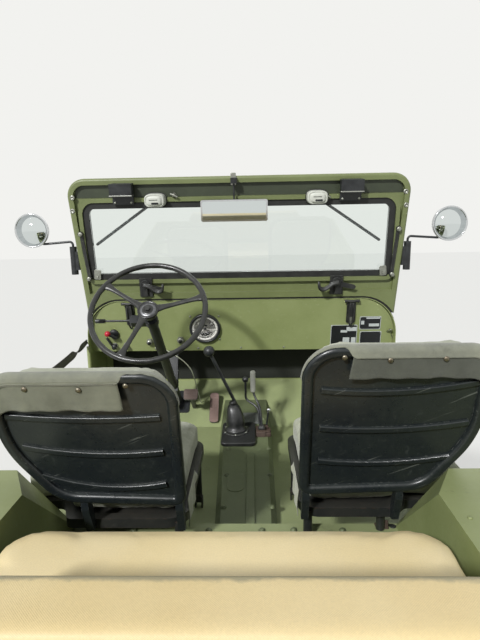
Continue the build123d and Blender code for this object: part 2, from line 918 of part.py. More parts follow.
save(steering_column, "steering_column")

# Turn signal switch clamped under the wheel
with BuildPart() as signal_switch:
    with BuildSketch(wheel_plane.offset(-jacket_start - 4)):
        Circle(jacket_r + 6)
        with Locations((-44, 0)):
            RectangleRounded(70, 34, 8)
    extrude(amount=-26)
    with BuildSketch(wheel_plane.offset(-jacket_start - 4)):
        Circle(jacket_r)
    extrude(amount=-26, mode=Mode.SUBTRACT)
    with BuildSketch(Plane.YZ.offset(hub_x - 195)):
        with Locations((hub_y + 44, hub_z - 46)):
            Circle(4)
    extrude(amount=130)
    with BuildSketch(Plane.YZ.offset(hub_x - 205)):
        with Locations((hub_y + 44, hub_z - 46)):
            Circle(8)
    extrude(amount=34)
save(signal_switch, "signal_switch")

# Pedals: pads on arms that come up through the toe-board, and the treadle
with BuildPart() as pedals:
    for x in (-390.0, -235.0):
        with BuildSketch(Plane.YZ.offset(x - 8)):
            with BuildLine():
                Polyline((760, 226), (772, 242), (905, toe_z(905)), (885, toe_z(885)), close=True)
            make_face()
        extrude(amount=16)
        with BuildSketch(Plane(origin=(x, 768, 236), x_dir=(1, 0, 0), z_dir=(0, -0.8, 0.6))):
            RectangleRounded(66, 52, 10)
        extrude(amount=8)
    with BuildSketch(Plane(origin=(-136, 860, toe_z(860) + 30), x_dir=(1, 0, 0), z_dir=(0, -0.75, 0.66))):
        RectangleRounded(44, 150, 14)
    extrude(amount=7)
    with BuildSketch(Plane.YZ.offset(-142)):
        with BuildLine():
            Polyline(
                (842, toe_z(842)),
                (862, toe_z(862)),
                (862, toe_z(862) + 36),
                (852, toe_z(852) + 32),
                close=True,
            )
        make_face()
    extrude(amount=12)
save(pedals, "pedals")

# Tunnel cover over the gearbox, wider and higher towards the toe-board
tunnel_rows = ((riser_y, 30.0, 95.0, 42.0), (half_length - sheet, 15.0, 125.0, 92.0))


def tunnel_block(inset):
    """Tapered block of the tunnel, set in by one wall for its inside."""
    with BuildPart() as block:
        for y, cx, half, height in tunnel_rows:
            with BuildSketch(Plane.XZ.offset(-y)):
                add(polygon(
                    (cx - half + inset, floor_top),
                    (cx - half + 20 + inset * 0.8, floor_top + height - inset),
                    (cx + half - 20 - inset * 0.8, floor_top + height - inset),
                    (cx + half - inset, floor_top),
                ))
        loft(ruled=True)
    return block.part


with BuildPart() as tunnel_cover:
    add(tunnel_block(0))
    add(tunnel_block(sheet), mode=Mode.SUBTRACT)
    with BuildSketch(Plane.YZ.offset(-300)):
        add(polygon(
            (toe_bottom_y, floor_top - 5),
            (toe_bottom_y, floor_top),
            (half_length + 50, toe_z(half_length + 50)),
            (half_length + 50, floor_top - 5),
        ))
    extrude(amount=600, mode=Mode.SUBTRACT)
save(tunnel_cover, "tunnel_cover")

# Rubber boot, gear lever and transfer levers on the tunnel
boot_x, boot_y = -20.0, 580.0


def tunnel_top_at(y):
    """Height of the tunnel's top at a place along the car."""
    rear, front = tunnel_rows
    return floor_top + rear[3] + (front[3] - rear[3]) * (y - rear[0]) / (front[0] - rear[0])


tunnel_top = tunnel_top_at(boot_y)
boot_height = 128.0
lever_r, knob_r, lever_seat = 7.0, 23.0, 60.0
knob_centre = Vector(-124.0, 555.0, 500.0)
boot_mouth = Vector(boot_x, boot_y, tunnel_top + boot_height)
lever_dir = (knob_centre - boot_mouth).normalized()
lever_start = boot_mouth - lever_dir * lever_seat
lever_length = (knob_centre - lever_start).length
lever_plane = Plane(origin=lever_start, x_dir=lever_dir, z_dir=Vector(0, 1, 0) - lever_dir * lever_dir.Y)
knob_foot = lever_length - math.sqrt(knob_r**2 - lever_r**2)
with BuildPart() as gear_boot:
    with BuildSketch(Plane.XZ.offset(-boot_y)):
        with BuildLine():
            Polyline((boot_x, tunnel_top - 8), (boot_x + 80, tunnel_top - 8), (boot_x + 78, tunnel_top + 40),
                     (boot_x + 62, tunnel_top + 88), (boot_x + 26, tunnel_top + boot_height),
                     (boot_x, tunnel_top + boot_height),
                     close=True)
        make_face()
    revolve(axis=Axis((boot_x, boot_y, 0), (0, 0, 1)))
    with BuildSketch(Plane.YZ.offset(boot_x - 100)):
        add(polygon(
            (boot_y - 100, tunnel_top_at(boot_y - 100) + 0.3),
            (boot_y + 100, tunnel_top_at(boot_y + 100) + 0.3),
            (boot_y + 100, floor_top),
            (boot_y - 100, floor_top),
        ))
    extrude(amount=200, mode=Mode.SUBTRACT)
    with BuildSketch(Plane(origin=lever_start, x_dir=lever_plane.z_dir, z_dir=lever_dir)):
        Circle(lever_r + seat_gap)
    extrude(amount=2 * lever_seat, mode=Mode.SUBTRACT)
save(gear_boot, "gear_boot")

with BuildPart() as gear_lever:
    with BuildSketch(lever_plane):
        with BuildLine():
            Polyline((lever_length + knob_r, 0), (0, 0), (0, lever_r), (knob_foot, lever_r))
            ThreePointArc((knob_foot, lever_r), (lever_length, knob_r), (lever_length + knob_r, 0))
        make_face()
    revolve(axis=Axis(lever_start, lever_dir))
save(gear_lever, "gear_lever")

with BuildPart() as transfer_levers:
    with BuildSketch(Plane.YZ.offset(64)):
        add(polygon(
            (530, tunnel_top_at(530) + 0.3),
            (600, tunnel_top_at(600) + 0.3),
            (600, tunnel_top + 20),
            (530, tunnel_top + 20),
        ))
    extrude(amount=42)
    for x_top, z_top, x_low in ((54.0, 380.0, 92.0), (22.0, 350.0, 84.0)):
        with BuildLine() as rod:
            FilletPolyline(
                (x_low, 560, tunnel_top + 16),
                (x_low - 6, 585, tunnel_top + 90),
                (x_top, 620, z_top - 60),
                (x_top, 622, z_top),
                radius=[40, 50],
            )
        with BuildSketch(Plane(origin=rod.line @ 0, z_dir=rod.line % 0)):
            Circle(5)
        sweep()
    with BuildSketch(Plane.XY.offset(300)):
        with Locations((54, 621)):
            Circle(12)
    extrude(amount=95)
    with Locations((22, 622, 356)):
        Sphere(13)
save(transfer_levers, "transfer_levers")


def seat_outline(cx, rear_y, front_y, outer, inset, corner):
    """Seat seen from above, with its outer rear corner cut away to pass the wheelhouse."""
    inner_x = cx - outer * (seat_half - inset)
    outer_x = cx + outer * (seat_half - inset)
    return shape(
        (inner_x, rear_y + inset, corner),
        (outer * (notch_x - inset), rear_y + inset, 20),
        (outer * (notch_x + 36 - inset), notch_y + inset, 20),
        (outer_x, notch_y + inset, corner * 0.6),
        (outer_x, front_y - inset, corner),
        (inner_x, front_y - inset, corner),
    )


def seat(prefix, cx, shift, outer, height, flap_start, flap_drop, ribs):
    """Tubular seat with pan, ribbed back, cushion, pad and canvas flap. outer is the door's side."""
    rear_y = base_rear_y + shift
    front_y = base_front_y + shift
    with BuildPart() as base:
        with BuildSketch(Plane.XY.offset(base_z - seat_tube_r)):
            add(seat_outline(cx, rear_y, front_y, outer, 0, 55))
            add(seat_outline(cx, rear_y, front_y, outer, 2 * seat_tube_r, 30), mode=Mode.SUBTRACT)
        extrude(amount=2 * seat_tube_r)
        with BuildSketch(Plane.XY.offset(base_z - 1)):
            add(seat_outline(cx, rear_y, front_y, outer, seat_tube_r, 42))
        extrude(amount=2)
        for x in (cx - outer * (seat_half - 24), outer * (notch_x - 22)):
            leg_y = riser_y - 22
            if x * outer < notch_x - 23:
                leg_y = min(leg_y, rear_y + seat_tube_r)
            with BuildSketch(Plane.XY.offset(rear_floor_top)):
                with Locations((x, leg_y)):
                    Circle(seat_tube_r - 1)
            extrude(amount=base_z - rear_floor_top)
        for x in (cx - seat_half + 24, cx + seat_half - 24):
            with BuildSketch(Plane.XY.offset(floor_top + 43)):
                with Locations((x, front_y - 30)):
                    Circle(seat_tube_r - 1)
            extrude(amount=base_z - floor_top - 43)
            with BuildSketch(Plane.YZ.offset(x - 8)):
                with Locations((front_y - 30, floor_top + 28)):
                    Circle(13)
                with Locations((front_y - 30, floor_top + 38)):
                    Rectangle(26, 20)
                with Locations((front_y - 30, floor_top + 28)):
                    Circle(6 + running, mode=Mode.SUBTRACT)
            extrude(amount=16)
    save(base, prefix + "_seat_base")

    back_angle = math.radians(back_rake)
    back_plane = Plane(
        origin=(cx, back_bottom_y + shift, back_bottom_z),
        x_dir=(1, 0, 0),
        z_dir=(0, -math.cos(back_angle), -math.sin(back_angle)),
    )

    def back_outline(inset):
        """Back's outline, cut away at the door's side below, set in by a border."""
        with BuildSketch() as outline:
            add(shape(
                (-outer * (seat_half + 5), 8, 30),
                (outer * 72, 20, 100),
                (outer * back_outer, 180, 230),
                (outer * back_outer, height, 55),
                (-outer * (seat_half + 5), height, 80),
            ))
            offset(amount=-inset, mode=Mode.REPLACE)
        return outline.sketch

    with BuildPart() as back:
        with BuildSketch(back_plane.offset(-seat_tube_r)):
            add(back_outline(0.01))
            add(back_outline(2 * seat_tube_r), mode=Mode.SUBTRACT)
        extrude(amount=2 * seat_tube_r)
        fillet(back.edges().group_by(Axis((0, 0, 0), back_plane.z_dir))[0], seat_tube_r - 3)
        fillet(back.edges().group_by(Axis((0, 0, 0), back_plane.z_dir))[-1], seat_tube_r - 3)
        with BuildSketch(back_plane.offset(-1)):
            add(back_outline(seat_tube_r))
        extrude(amount=2)
        for v, outer_end, rise in ribs:
            with BuildSketch(back_plane):
                with BuildLine():
                    ThreePointArc((-outer * (seat_half - 38), v + 4), (0, v), (outer * outer_end, v + rise))
                trace(line_width=rib_width)
            extrude(amount=rib_height)
        rib_tops = []
        for edge in back.edges().filter_by(lambda edge: edge.length > seat_half):
            if abs(back_plane.to_local_coords(edge.center()).Z - rib_height) < 0.1:
                rib_tops.append(edge)
        fillet(rib_tops, rib_round)
        foot_y, foot_z = back_bottom_y + shift, back_bottom_z
        for x in (-outer * (seat_half - 13), outer * 10):
            with BuildSketch(Plane.YZ.offset(cx + x - 9)):
                add(polygon(
                    (rear_y - 0.3, base_z - 10),
                    (rear_y - 0.3, base_z + 24),
                    (foot_y + 8, foot_z + 30),
                    (foot_y - 12, foot_z + 30),
                    (foot_y - 12, foot_z - 5),
                    (rear_y - 14, base_z - 10),
                ))
            extrude(amount=18)
    save(back, prefix + "_seat_back")

    cushion_bottom = base_z + seat_tube_r + seat_gap
    with BuildPart() as cushion:
        with BuildSketch(Plane.XY.offset(cushion_bottom)):
            add(seat_outline(cx, rear_y, front_y, outer, 4, 56))
        extrude(amount=cushion_thickness)
        fillet(cushion.edges().group_by(Axis.Z)[-1], 24)
    save(cushion, prefix + "_seat_cushion")

    with BuildPart() as pad:
        with BuildSketch(back_plane.offset(-seat_tube_r - seat_gap)):
            add(back_outline(5))
            with Locations((0, height / 2 + pad_foot)):
                Rectangle(3 * seat_half, height, mode=Mode.INTERSECT)
        extrude(amount=-back_pad_thickness)
        fillet(pad.edges().group_by(Axis((0, 0, 0), back_plane.z_dir))[0], 24)
        # canvas hood over the tube's top with its flap behind the back
        middle = outer * (seat_half + 20 - flap_start) / 2
        window = seat_half + 20 + flap_start
        hood_parts = ((-seat_tube_r, 2 * seat_tube_r + 1, True), (seat_tube_r + 1, canvas, False))
        for start, depth, inner in hood_parts:
            with BuildSketch(back_plane.offset(start)):
                add(back_outline(-canvas))
                if inner:
                    add(back_outline(-0.3), mode=Mode.SUBTRACT)
                with Locations((middle, height)):
                    Rectangle(window, 2 * flap_drop, mode=Mode.INTERSECT)
            extrude(amount=depth)
    save(pad, prefix + "_back_pad")



# each rib's place up the back at its middle, how far out it ends, and its rise at that end
driver_ribs = ((67.0, 98.0, 30.0), (159.0, 128.0, 21.0), (252.0, 150.0, 11.0))
passenger_ribs = ((105.0, 118.0, 17.0), (199.0, 145.0, 18.0), (300.0, 150.0, 22.0))
seat("driver", driver_x, driver_y, -1, driver_back, 108, 78, driver_ribs)
seat("passenger", passenger_x, passenger_y, 1, passenger_back, 131, 58, passenger_ribs)

# Floor brackets with the pins that the front feet turn on
with BuildPart() as seat_pivots:
    for cx, shift in ((driver_x, driver_y), (passenger_x, passenger_y)):
        for x in (cx - seat_half + 24, cx + seat_half - 24):
            y = base_front_y + shift - 30
            for plate in (-13.5, 9.0):
                with BuildSketch(Plane.YZ.offset(x + plate)):
                    with Locations((y, floor_top + 28)):
                        Circle(13)
                    with Locations((y, floor_top + 14)):
                        Rectangle(26, 28)
                extrude(amount=4.5)
            with BuildSketch(Plane.YZ.offset(x - 13.5)):
                with Locations((y, floor_top + 28)):
                    Circle(6)
            extrude(amount=27)
save(seat_pivots, "seat_pivots")

# Rear bench: box base, cushion with rounded front corners, and a folding backrest
with BuildPart() as rear_seat_base:
    leg_bottom = rear_floor_top + bead_rise
    with BuildSketch(Plane.XY.offset(bench_top - bench_thickness - 24)):
        with Locations((0, (bench_front_y + bench_rear_y) / 2)):
            Rectangle(2 * bench_half - 60, bench_front_y - bench_rear_y - 60)
            Rectangle(2 * bench_half - 108, bench_front_y - bench_rear_y - 108, mode=Mode.SUBTRACT)
    extrude(amount=24 - seat_gap)
    for x in (-bench_half + 62, bench_half - 62):
        for y in (bench_front_y - 50, bench_rear_y + 50):
            with BuildSketch(Plane.XY.offset(rear_floor_top)):
                with Locations((x, y)):
                    Circle(12)
            extrude(amount=bench_top - bench_thickness - 24 - rear_floor_top)
    for x in (-bench_half + 30, bench_half - 42):
        with BuildSketch(Plane.YZ.offset(x)):
            with Locations((bench_rear_y + 34, bench_top - bench_thickness - 24 + 12)):
                Rectangle(10, 23)
        extrude(amount=12)
save(rear_seat_base, "rear_seat_base")

with BuildPart() as rear_seat_cushion:
    with BuildSketch(Plane.XY.offset(bench_top - bench_thickness)):
        add(shape(
            (-bench_half, bench_rear_y, 30),
            (bench_half, bench_rear_y, 30),
            (bench_half, bench_front_y, bench_corner_r),
            (-bench_half, bench_front_y, bench_corner_r),
        ))
    extrude(amount=bench_thickness)
    fillet(rear_seat_cushion.edges().group_by(Axis.Z)[-1], 22)
save(rear_seat_cushion, "rear_seat_cushion")

with BuildPart() as rear_backrest:
    with BuildSketch(Plane.XZ.offset(-rest_front_y)):
        with Locations((0, (rest_bottom + rest_top) / 2)):
            RectangleRounded(2 * rest_half, rest_top - rest_bottom, 40)
    extrude(amount=rest_thickness)
    fillet(rear_backrest.edges().group_by(Axis.Y)[-1], 22)
    fillet(rear_backrest.edges().group_by(Axis.Y)[0], 18)
save(rear_backrest, "rear_backrest")

# Backrest frame: a flat loop behind the cushion with an ear at each end
frame_y = rest_front_y - rest_thickness - 0.3
frame_thickness = 14.0
with BuildPart() as rear_backrest_frame:
    with BuildSketch(Plane.XZ.offset(-frame_y)):
        with Locations((0, (rest_bottom + rest_top) / 2 - 20)):
            Rectangle(2 * (ear_x + ear_thickness), 150)
            Rectangle(2 * ear_x - 60, 90, mode=Mode.SUBTRACT)
    extrude(amount=frame_thickness)
    for side in (-1, 1):
        with BuildSketch(Plane.YZ.offset(side * ear_x)):
            add(polygon(
                (frame_y, rest_pivot_z + 60),
                (frame_y, rest_pivot_z - 10),
                (rest_pivot_y, rest_pivot_z - ear_r),
                (rest_pivot_y, rest_pivot_z + ear_r),
            ))
            with Locations((rest_pivot_y, rest_pivot_z)):
                Circle(ear_r)
                Circle(rest_pin_r + running, mode=Mode.SUBTRACT)
        extrude(amount=side * ear_thickness)
save(rear_backrest_frame, "rear_backrest_frame")


# Webbing strap across the driver's door opening, with a shallow sag and a boss at its front end
strap_x = -half_width - rim_tube_r - 0.3
strap_width = 36.0
strap_sag = 30.0
strap_thickness = 3.0
boss_r = 12.0
with BuildPart() as safety_strap:
    y0, z0, y1, z1 = cowl_rear_y + 26, 507.0, -158.0, 517.0
    with BuildSketch(Plane.YZ.offset(strap_x)):
        with BuildLine():
            middle = (y0 + y1) / 2
            lowest = z0 - strap_sag
            ThreePointArc((y0, z0), (middle, lowest), (y1, z1))
            Line((y1, z1), (y1, z1 - strap_width))
            ThreePointArc((y1, z1 - strap_width), (middle, lowest - strap_width), (y0, z0 - strap_width))
            Line((y0, z0 - strap_width), (y0, z0))
        make_face()
    extrude(amount=-strap_thickness)
    with BuildSketch(Plane.YZ.offset(-half_width - 0.3)):
        with Locations((y0 - boss_r, z0 - strap_width / 2)):
            Circle(boss_r)
    extrude(amount=strap_x + half_width - strap_thickness)
save(safety_strap, "safety_strap")

# Battery lid, hinged along its front edge
with BuildPart() as battery_lid:
    lid_plane = Plane(
        origin=(sum(battery_x) / 2, sum(battery_y) / 2, cowl_top_at(sum(battery_y) / 2) + 0.3),
        x_dir=(1, 0, 0),
        z_dir=(0, math.sin(cowl_slope), math.cos(cowl_slope)),
    )
    with BuildSketch(lid_plane):
        lid_width = battery_x[1] - battery_x[0] + 2 * lid_overlap
        RectangleRounded(lid_width, battery_length + 2 * lid_overlap, 18)
    extrude(amount=lid_thickness)
    for x in lid_hinge_x:
        with BuildSketch(Plane.YZ.offset(x - 12)):
            with Locations((lid_pin_y, lid_pin_z)):
                Circle(lid_knuckle_r)
            add(polygon(
                (lid_pin_y - 30, cowl_top_at(lid_pin_y - 30) + 2),
                (lid_pin_y, lid_pin_z - lid_knuckle_r),
                (lid_pin_y, lid_pin_z + lid_knuckle_r),
                (lid_pin_y - 30, cowl_top_at(lid_pin_y - 30) + 12),
            ))
            with Locations((lid_pin_y, lid_pin_z)):
                Circle(lid_pin_r + running, mode=Mode.SUBTRACT)
        extrude(amount=24)
save(battery_lid, "battery_lid")
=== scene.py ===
import math

import bmesh
import bpy
from mathutils import Matrix, Vector


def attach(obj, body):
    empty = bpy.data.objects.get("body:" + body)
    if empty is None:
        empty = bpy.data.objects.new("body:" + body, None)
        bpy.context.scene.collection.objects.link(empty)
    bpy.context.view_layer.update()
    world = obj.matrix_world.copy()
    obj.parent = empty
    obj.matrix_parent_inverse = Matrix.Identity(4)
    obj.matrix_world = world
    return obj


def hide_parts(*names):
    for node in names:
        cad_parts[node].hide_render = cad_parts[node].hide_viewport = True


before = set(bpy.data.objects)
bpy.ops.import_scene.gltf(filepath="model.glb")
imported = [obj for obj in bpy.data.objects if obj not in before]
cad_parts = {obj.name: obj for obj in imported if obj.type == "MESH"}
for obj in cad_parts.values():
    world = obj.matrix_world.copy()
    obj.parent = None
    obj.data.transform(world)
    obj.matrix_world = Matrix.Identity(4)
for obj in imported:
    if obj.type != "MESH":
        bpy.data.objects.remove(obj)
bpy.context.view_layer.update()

# Studio
# The car's body stands on a pale seamless floor. A broad soft key from high behind the left shoulder
# gives the lit rails and the shaded hollows, and the pale room fills the rest.

eye = (0.059, -1.353, 1.005)
yaw, pitch, roll = math.radians(1.61), math.radians(11.13), math.radians(-1.03)
camera_data = bpy.data.cameras.new("view")
camera_data.lens = 27.07
camera = bpy.data.objects.new("view", camera_data)
camera.matrix_world = (
    Matrix.Translation(eye)
    @ Matrix.Rotation(yaw, 4, "Z")
    @ Matrix.Rotation(math.pi / 2 - pitch, 4, "X")
    @ Matrix.Rotation(roll, 4, "Z")
)
bpy.context.scene.collection.objects.link(camera)
bpy.context.scene.camera = camera
bpy.context.scene.view_settings.view_transform = "Standard"


def colour(code):
    """An sRGB hex colour as the linear values that the shaders take."""
    values = [int(code[i:i + 2], 16) / 255 for i in (1, 3, 5)]
    return [v / 12.92 if v <= 0.04045 else ((v + 0.055) / 1.055) ** 2.4 for v in values] + [1.0]


def place(tree, kind, links=None, **settings):
    """Adds one node with its settings, and fills or links its inputs."""
    node = tree.nodes.new(kind)
    for key, value in settings.items():
        setattr(node, key, value)
    for key, value in (links or {}).items():
        socket = node.inputs[key]
        if isinstance(value, bpy.types.NodeSocket):
            tree.links.new(value, socket)
        else:
            socket.default_value = value
    return node


def link_object(name, data):
    """A new object in the scene for some data."""
    made = bpy.data.objects.new(name, data)
    bpy.context.scene.collection.objects.link(made)
    return made


floor_size = 30.0
floor_mesh = bpy.data.meshes.new("studio_floor")
half = floor_size / 2
floor_mesh.from_pydata([(-half, -half, 0), (half, -half, 0), (half, half, 0), (-half, half, 0)], [],
                       [(0, 1, 2, 3)])
studio_floor = link_object("studio_floor", floor_mesh)
floor_paint = bpy.data.materials.new("pale_studio_floor")
floor_paint.use_nodes = True
tree = floor_paint.node_tree
tree.nodes.clear()
seen = place(tree, "ShaderNodeLightPath")
through = place(tree, "ShaderNodeMath", {0: seen.outputs["Is Glossy Ray"],
                                         1: seen.outputs["Is Transmission Ray"]}, operation="MAXIMUM")
shown = place(tree, "ShaderNodeMath", {0: seen.outputs["Is Camera Ray"], 1: through.outputs[0]},
              operation="MAXIMUM")
share = place(tree, "ShaderNodeMath", {0: shown.outputs[0], 1: 0.62}, operation="MULTIPLY")
dull = place(tree, "ShaderNodeBsdfDiffuse", {"Color": colour("#D6D6D2")})
glow = place(tree, "ShaderNodeEmission", {"Color": colour("#F2F2EF"), "Strength": 1.0})
mixed = place(tree, "ShaderNodeMixShader", {0: share.outputs[0], 1: dull.outputs[0], 2: glow.outputs[0]})
place(tree, "ShaderNodeOutputMaterial", {"Surface": mixed.outputs[0]})
floor_mesh.materials.append(floor_paint)

room = bpy.data.worlds.new("pale_room")
bpy.context.scene.world = room
room.use_nodes = True
tree = room.node_tree
tree.nodes.clear()
seen = place(tree, "ShaderNodeLightPath")
through = place(tree, "ShaderNodeMath", {0: seen.outputs["Is Glossy Ray"],
                                         1: seen.outputs["Is Transmission Ray"]}, operation="MAXIMUM")
shown = place(tree, "ShaderNodeMath", {0: seen.outputs["Is Camera Ray"], 1: through.outputs[0]},
              operation="MAXIMUM")
fill = place(tree, "ShaderNodeBackground", {"Color": colour("#E9EDF2"), "Strength": 0.42})
backdrop = place(tree, "ShaderNodeBackground", {"Color": colour("#F2F2EF"), "Strength": 1.0})
mixed = place(tree, "ShaderNodeMixShader", {0: shown.outputs[0], 1: fill.outputs[0], 2: backdrop.outputs[0]})
place(tree, "ShaderNodeOutputWorld", {"Surface": mixed.outputs[0]})

# name, direction that the light comes from, softness in degrees, strength
lamps = (
    ("key", (-0.42, -0.78, 0.60), 5, 3.5),
    ("front_fill", (0.5, 1.0, 0.9), 60, 0.45),
)
for name, origin, softness, strength in lamps:
    light = bpy.data.lights.new(name, "SUN")
    light.angle = math.radians(softness)
    light.energy = strength
    lamp = link_object(name, light)
    lamp.rotation_euler = Vector(origin).to_track_quat("Z", "Y").to_euler()

# Tub
# Pressed and spot-welded sheet steel, brush-painted in satin olive green over older coats. The paint
# is the same on floor, sides, wheelhouses, cowl and dash, thin and chipped along the edges.


def surface(name, base, roughness, metallic=0.0):
    """A material with its output, shader and object coordinates ready."""
    made = bpy.data.materials.new(name)
    made.use_nodes = True
    tree = made.node_tree
    tree.nodes.clear()
    shader = place(tree, "ShaderNodeBsdfPrincipled", {"Base Color": colour(base), "Roughness": roughness,
                                                      "Metallic": metallic})
    place(tree, "ShaderNodeOutputMaterial", {"Surface": shader.outputs[0]})
    where = place(tree, "ShaderNodeTexCoord").outputs["Object"]
    return made, tree, shader, where


def enamel(name, base, patch, dust, chip, roughness=0.42, grime="#2B2D22", wear=0.55):
    """Brushed satin enamel: cloudy patches, fine brush marks, dust on what faces up, chips on edges."""
    made, tree, shader, where = surface(name, base, roughness)
    # cloudy patches about 150 mm across, where coats of different age show through
    cloud = place(tree, "ShaderNodeTexNoise", {"Vector": where, "Scale": 6.5, "Detail": 5.0,
                                               "Roughness": 0.6})
    cloudy = place(tree, "ShaderNodeMapRange", {0: cloud.outputs[0], 1: 0.38, 2: 0.66})
    body = place(tree, "ShaderNodeMix", {0: cloudy.outputs[0], 6: colour(base), 7: colour(patch)},
                 data_type="RGBA")
    # scuffs and old drips a few millimetres wide
    scuff = place(tree, "ShaderNodeTexNoise", {"Vector": where, "Scale": 70.0, "Detail": 6.0,
                                               "Roughness": 0.72})
    scuffed = place(tree, "ShaderNodeMapRange", {0: scuff.outputs[0], 1: 0.58, 2: 0.74, 4: 0.45})
    marked = place(tree, "ShaderNodeMix", {0: scuffed.outputs[0], 6: body.outputs[2], 7: colour(dust)},
                   data_type="RGBA")
    # dust settles on what faces up
    facing = place(tree, "ShaderNodeNewGeometry")
    split = place(tree, "ShaderNodeSeparateXYZ", {0: facing.outputs["Normal"]})
    up = place(tree, "ShaderNodeMapRange", {0: split.outputs[2], 1: 0.5, 2: 1.0, 4: 0.32})
    speckle = place(tree, "ShaderNodeTexNoise", {"Vector": where, "Scale": 26.0, "Detail": 8.0,
                                                 "Roughness": 0.75})
    settled = place(tree, "ShaderNodeMath", {0: up.outputs[0], 1: speckle.outputs[0]}, operation="MULTIPLY")
    dusty = place(tree, "ShaderNodeMix", {0: settled.outputs[0], 6: marked.outputs[2], 7: colour(dust)},
                  data_type="RGBA")
    # grime in spots and streaks
    dirt = place(tree, "ShaderNodeTexNoise", {"Vector": where, "Scale": 14.0, "Detail": 9.0,
                                              "Roughness": 0.8})
    dirty = place(tree, "ShaderNodeMapRange", {0: dirt.outputs[0], 1: 0.60, 2: 0.78, 4: 0.5})
    grimy = place(tree, "ShaderNodeMix", {0: dirty.outputs[0], 6: dusty.outputs[2], 7: colour(grime)},
                  data_type="RGBA")
    # chips where an edge turns within 2.5 mm
    soft = place(tree, "ShaderNodeBevel", {"Radius": 0.0025}, samples=4)
    bent = place(tree, "ShaderNodeVectorMath", {0: soft.outputs[0], 1: facing.outputs["Normal"]},
                 operation="DOT_PRODUCT")
    edge = place(tree, "ShaderNodeMapRange", {0: bent.outputs["Value"], 1: 0.97, 2: 0.80})
    nick = place(tree, "ShaderNodeTexNoise", {"Vector": where, "Scale": 95.0, "Detail": 4.0,
                                              "Roughness": 0.7})
    nicked = place(tree, "ShaderNodeMapRange", {0: nick.outputs[0], 1: 0.50, 2: 0.64, 4: wear})
    worn = place(tree, "ShaderNodeMath", {0: edge.outputs[0], 1: nicked.outputs[0]}, operation="MULTIPLY")
    chipped = place(tree, "ShaderNodeMix", {0: worn.outputs[0], 6: grimy.outputs[2], 7: colour(chip)},
                    data_type="RGBA")
    tree.links.new(chipped.outputs[2], shader.inputs["Base Color"])
    # gloss varies with the scuffs
    sheen = place(tree, "ShaderNodeMapRange", {0: scuff.outputs[0], 1: 0.3, 2: 0.75, 3: roughness - 0.07,
                                               4: roughness + 0.16})
    tree.links.new(sheen.outputs[0], shader.inputs["Roughness"])
    # orange peel and brush marks about a millimetre apart
    peel = place(tree, "ShaderNodeTexNoise", {"Vector": where, "Scale": 420.0, "Detail": 2.0})
    waves = place(tree, "ShaderNodeTexNoise", {"Vector": where, "Scale": 9.0, "Detail": 2.0})
    height = place(tree, "ShaderNodeMath", {0: peel.outputs[0], 1: 0.12, 2: waves.outputs[0]},
                   operation="MULTIPLY_ADD")
    bump = place(tree, "ShaderNodeBump", {"Height": height.outputs[0], "Strength": 0.35, "Distance": 0.0016})
    tree.links.new(bump.outputs[0], shader.inputs["Normal"])
    return made


def finish_node(name, material):
    """Gives a carried-over node its material."""
    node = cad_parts[name]
    node.data.materials.clear()
    node.data.materials.append(material)


# satin olive green, cloudy with coats of different age, dusty on top and pale at the chipped edges
olive_enamel = enamel("olive_enamel", "#8B9463", "#818B59", "#A3A884", "#A9AD86")
# a darker copy of the body's paint on the floor's channels and the tunnel, as painted shade of the footwell
footwell_shade_enamel = enamel("trodden_olive_enamel", "#626C4B", "#545E40", "#858A6C", "#8F8F78", 0.48, "#25261D")
# the floor pan keeps nearly the body's olive, and the screen's frame is a darker olive than the body
pan_enamel = enamel("scuffed_floor_enamel", "#8A9466", "#7C865C", "#A4A888", "#A8A98C", 0.46, "#34352A")
screen_enamel = enamel("screen_frame_enamel", "#717A4F", "#687047", "#8C9170", "#989C78", 0.42)
# a dark olive, as painted shade in the top rail's hollow under its turned edge
rail_shade_enamel = enamel("older_dark_olive_enamel", "#39402F", "#2F3527", "#50563F", "#6D7257", 0.45, "#191B15")
for name in ("side_panel_right", "side_panel_left", "wheelhouse_right", "wheelhouse_left", "rear_panel",
             "cowl", "battery_box", "battery_lid", "dash_panel"):
    finish_node(name, olive_enamel)
for name in ("windscreen_frame", "screen_hinges"):
    finish_node(name, screen_enamel)
finish_node("floor_pan", pan_enamel)
# the channels and the tunnel take the footwell's painted shade
for name in ("cross_channels", "tunnel_cover"):
    finish_node(name, footwell_shade_enamel)
finish_node("firewall", olive_enamel)

# Firewall lining, as painted shade
# The firewall's inner face lies in deep shade under the dash, far darker than the paint round it. A
# near-black board, dull and slightly fibrous like felt, is laid on it as painted shade; what such a
# lining would be made of is a guess.


def mesh_piece(name, points, faces, material, smooth=True):
    """Makes one piece from its corners and faces, with the faces turned outwards."""
    mesh = bpy.data.meshes.new(name)
    mesh.from_pydata([tuple(p) for p in points], [], faces)
    shape = bmesh.new()
    shape.from_mesh(mesh)
    bmesh.ops.remove_doubles(shape, verts=shape.verts, dist=0.00001)
    bmesh.ops.recalc_face_normals(shape, faces=shape.faces)
    shape.to_mesh(mesh)
    shape.free()
    for face in mesh.polygons:
        face.use_smooth = smooth
    mesh.materials.append(material)
    return link_object(name, mesh)
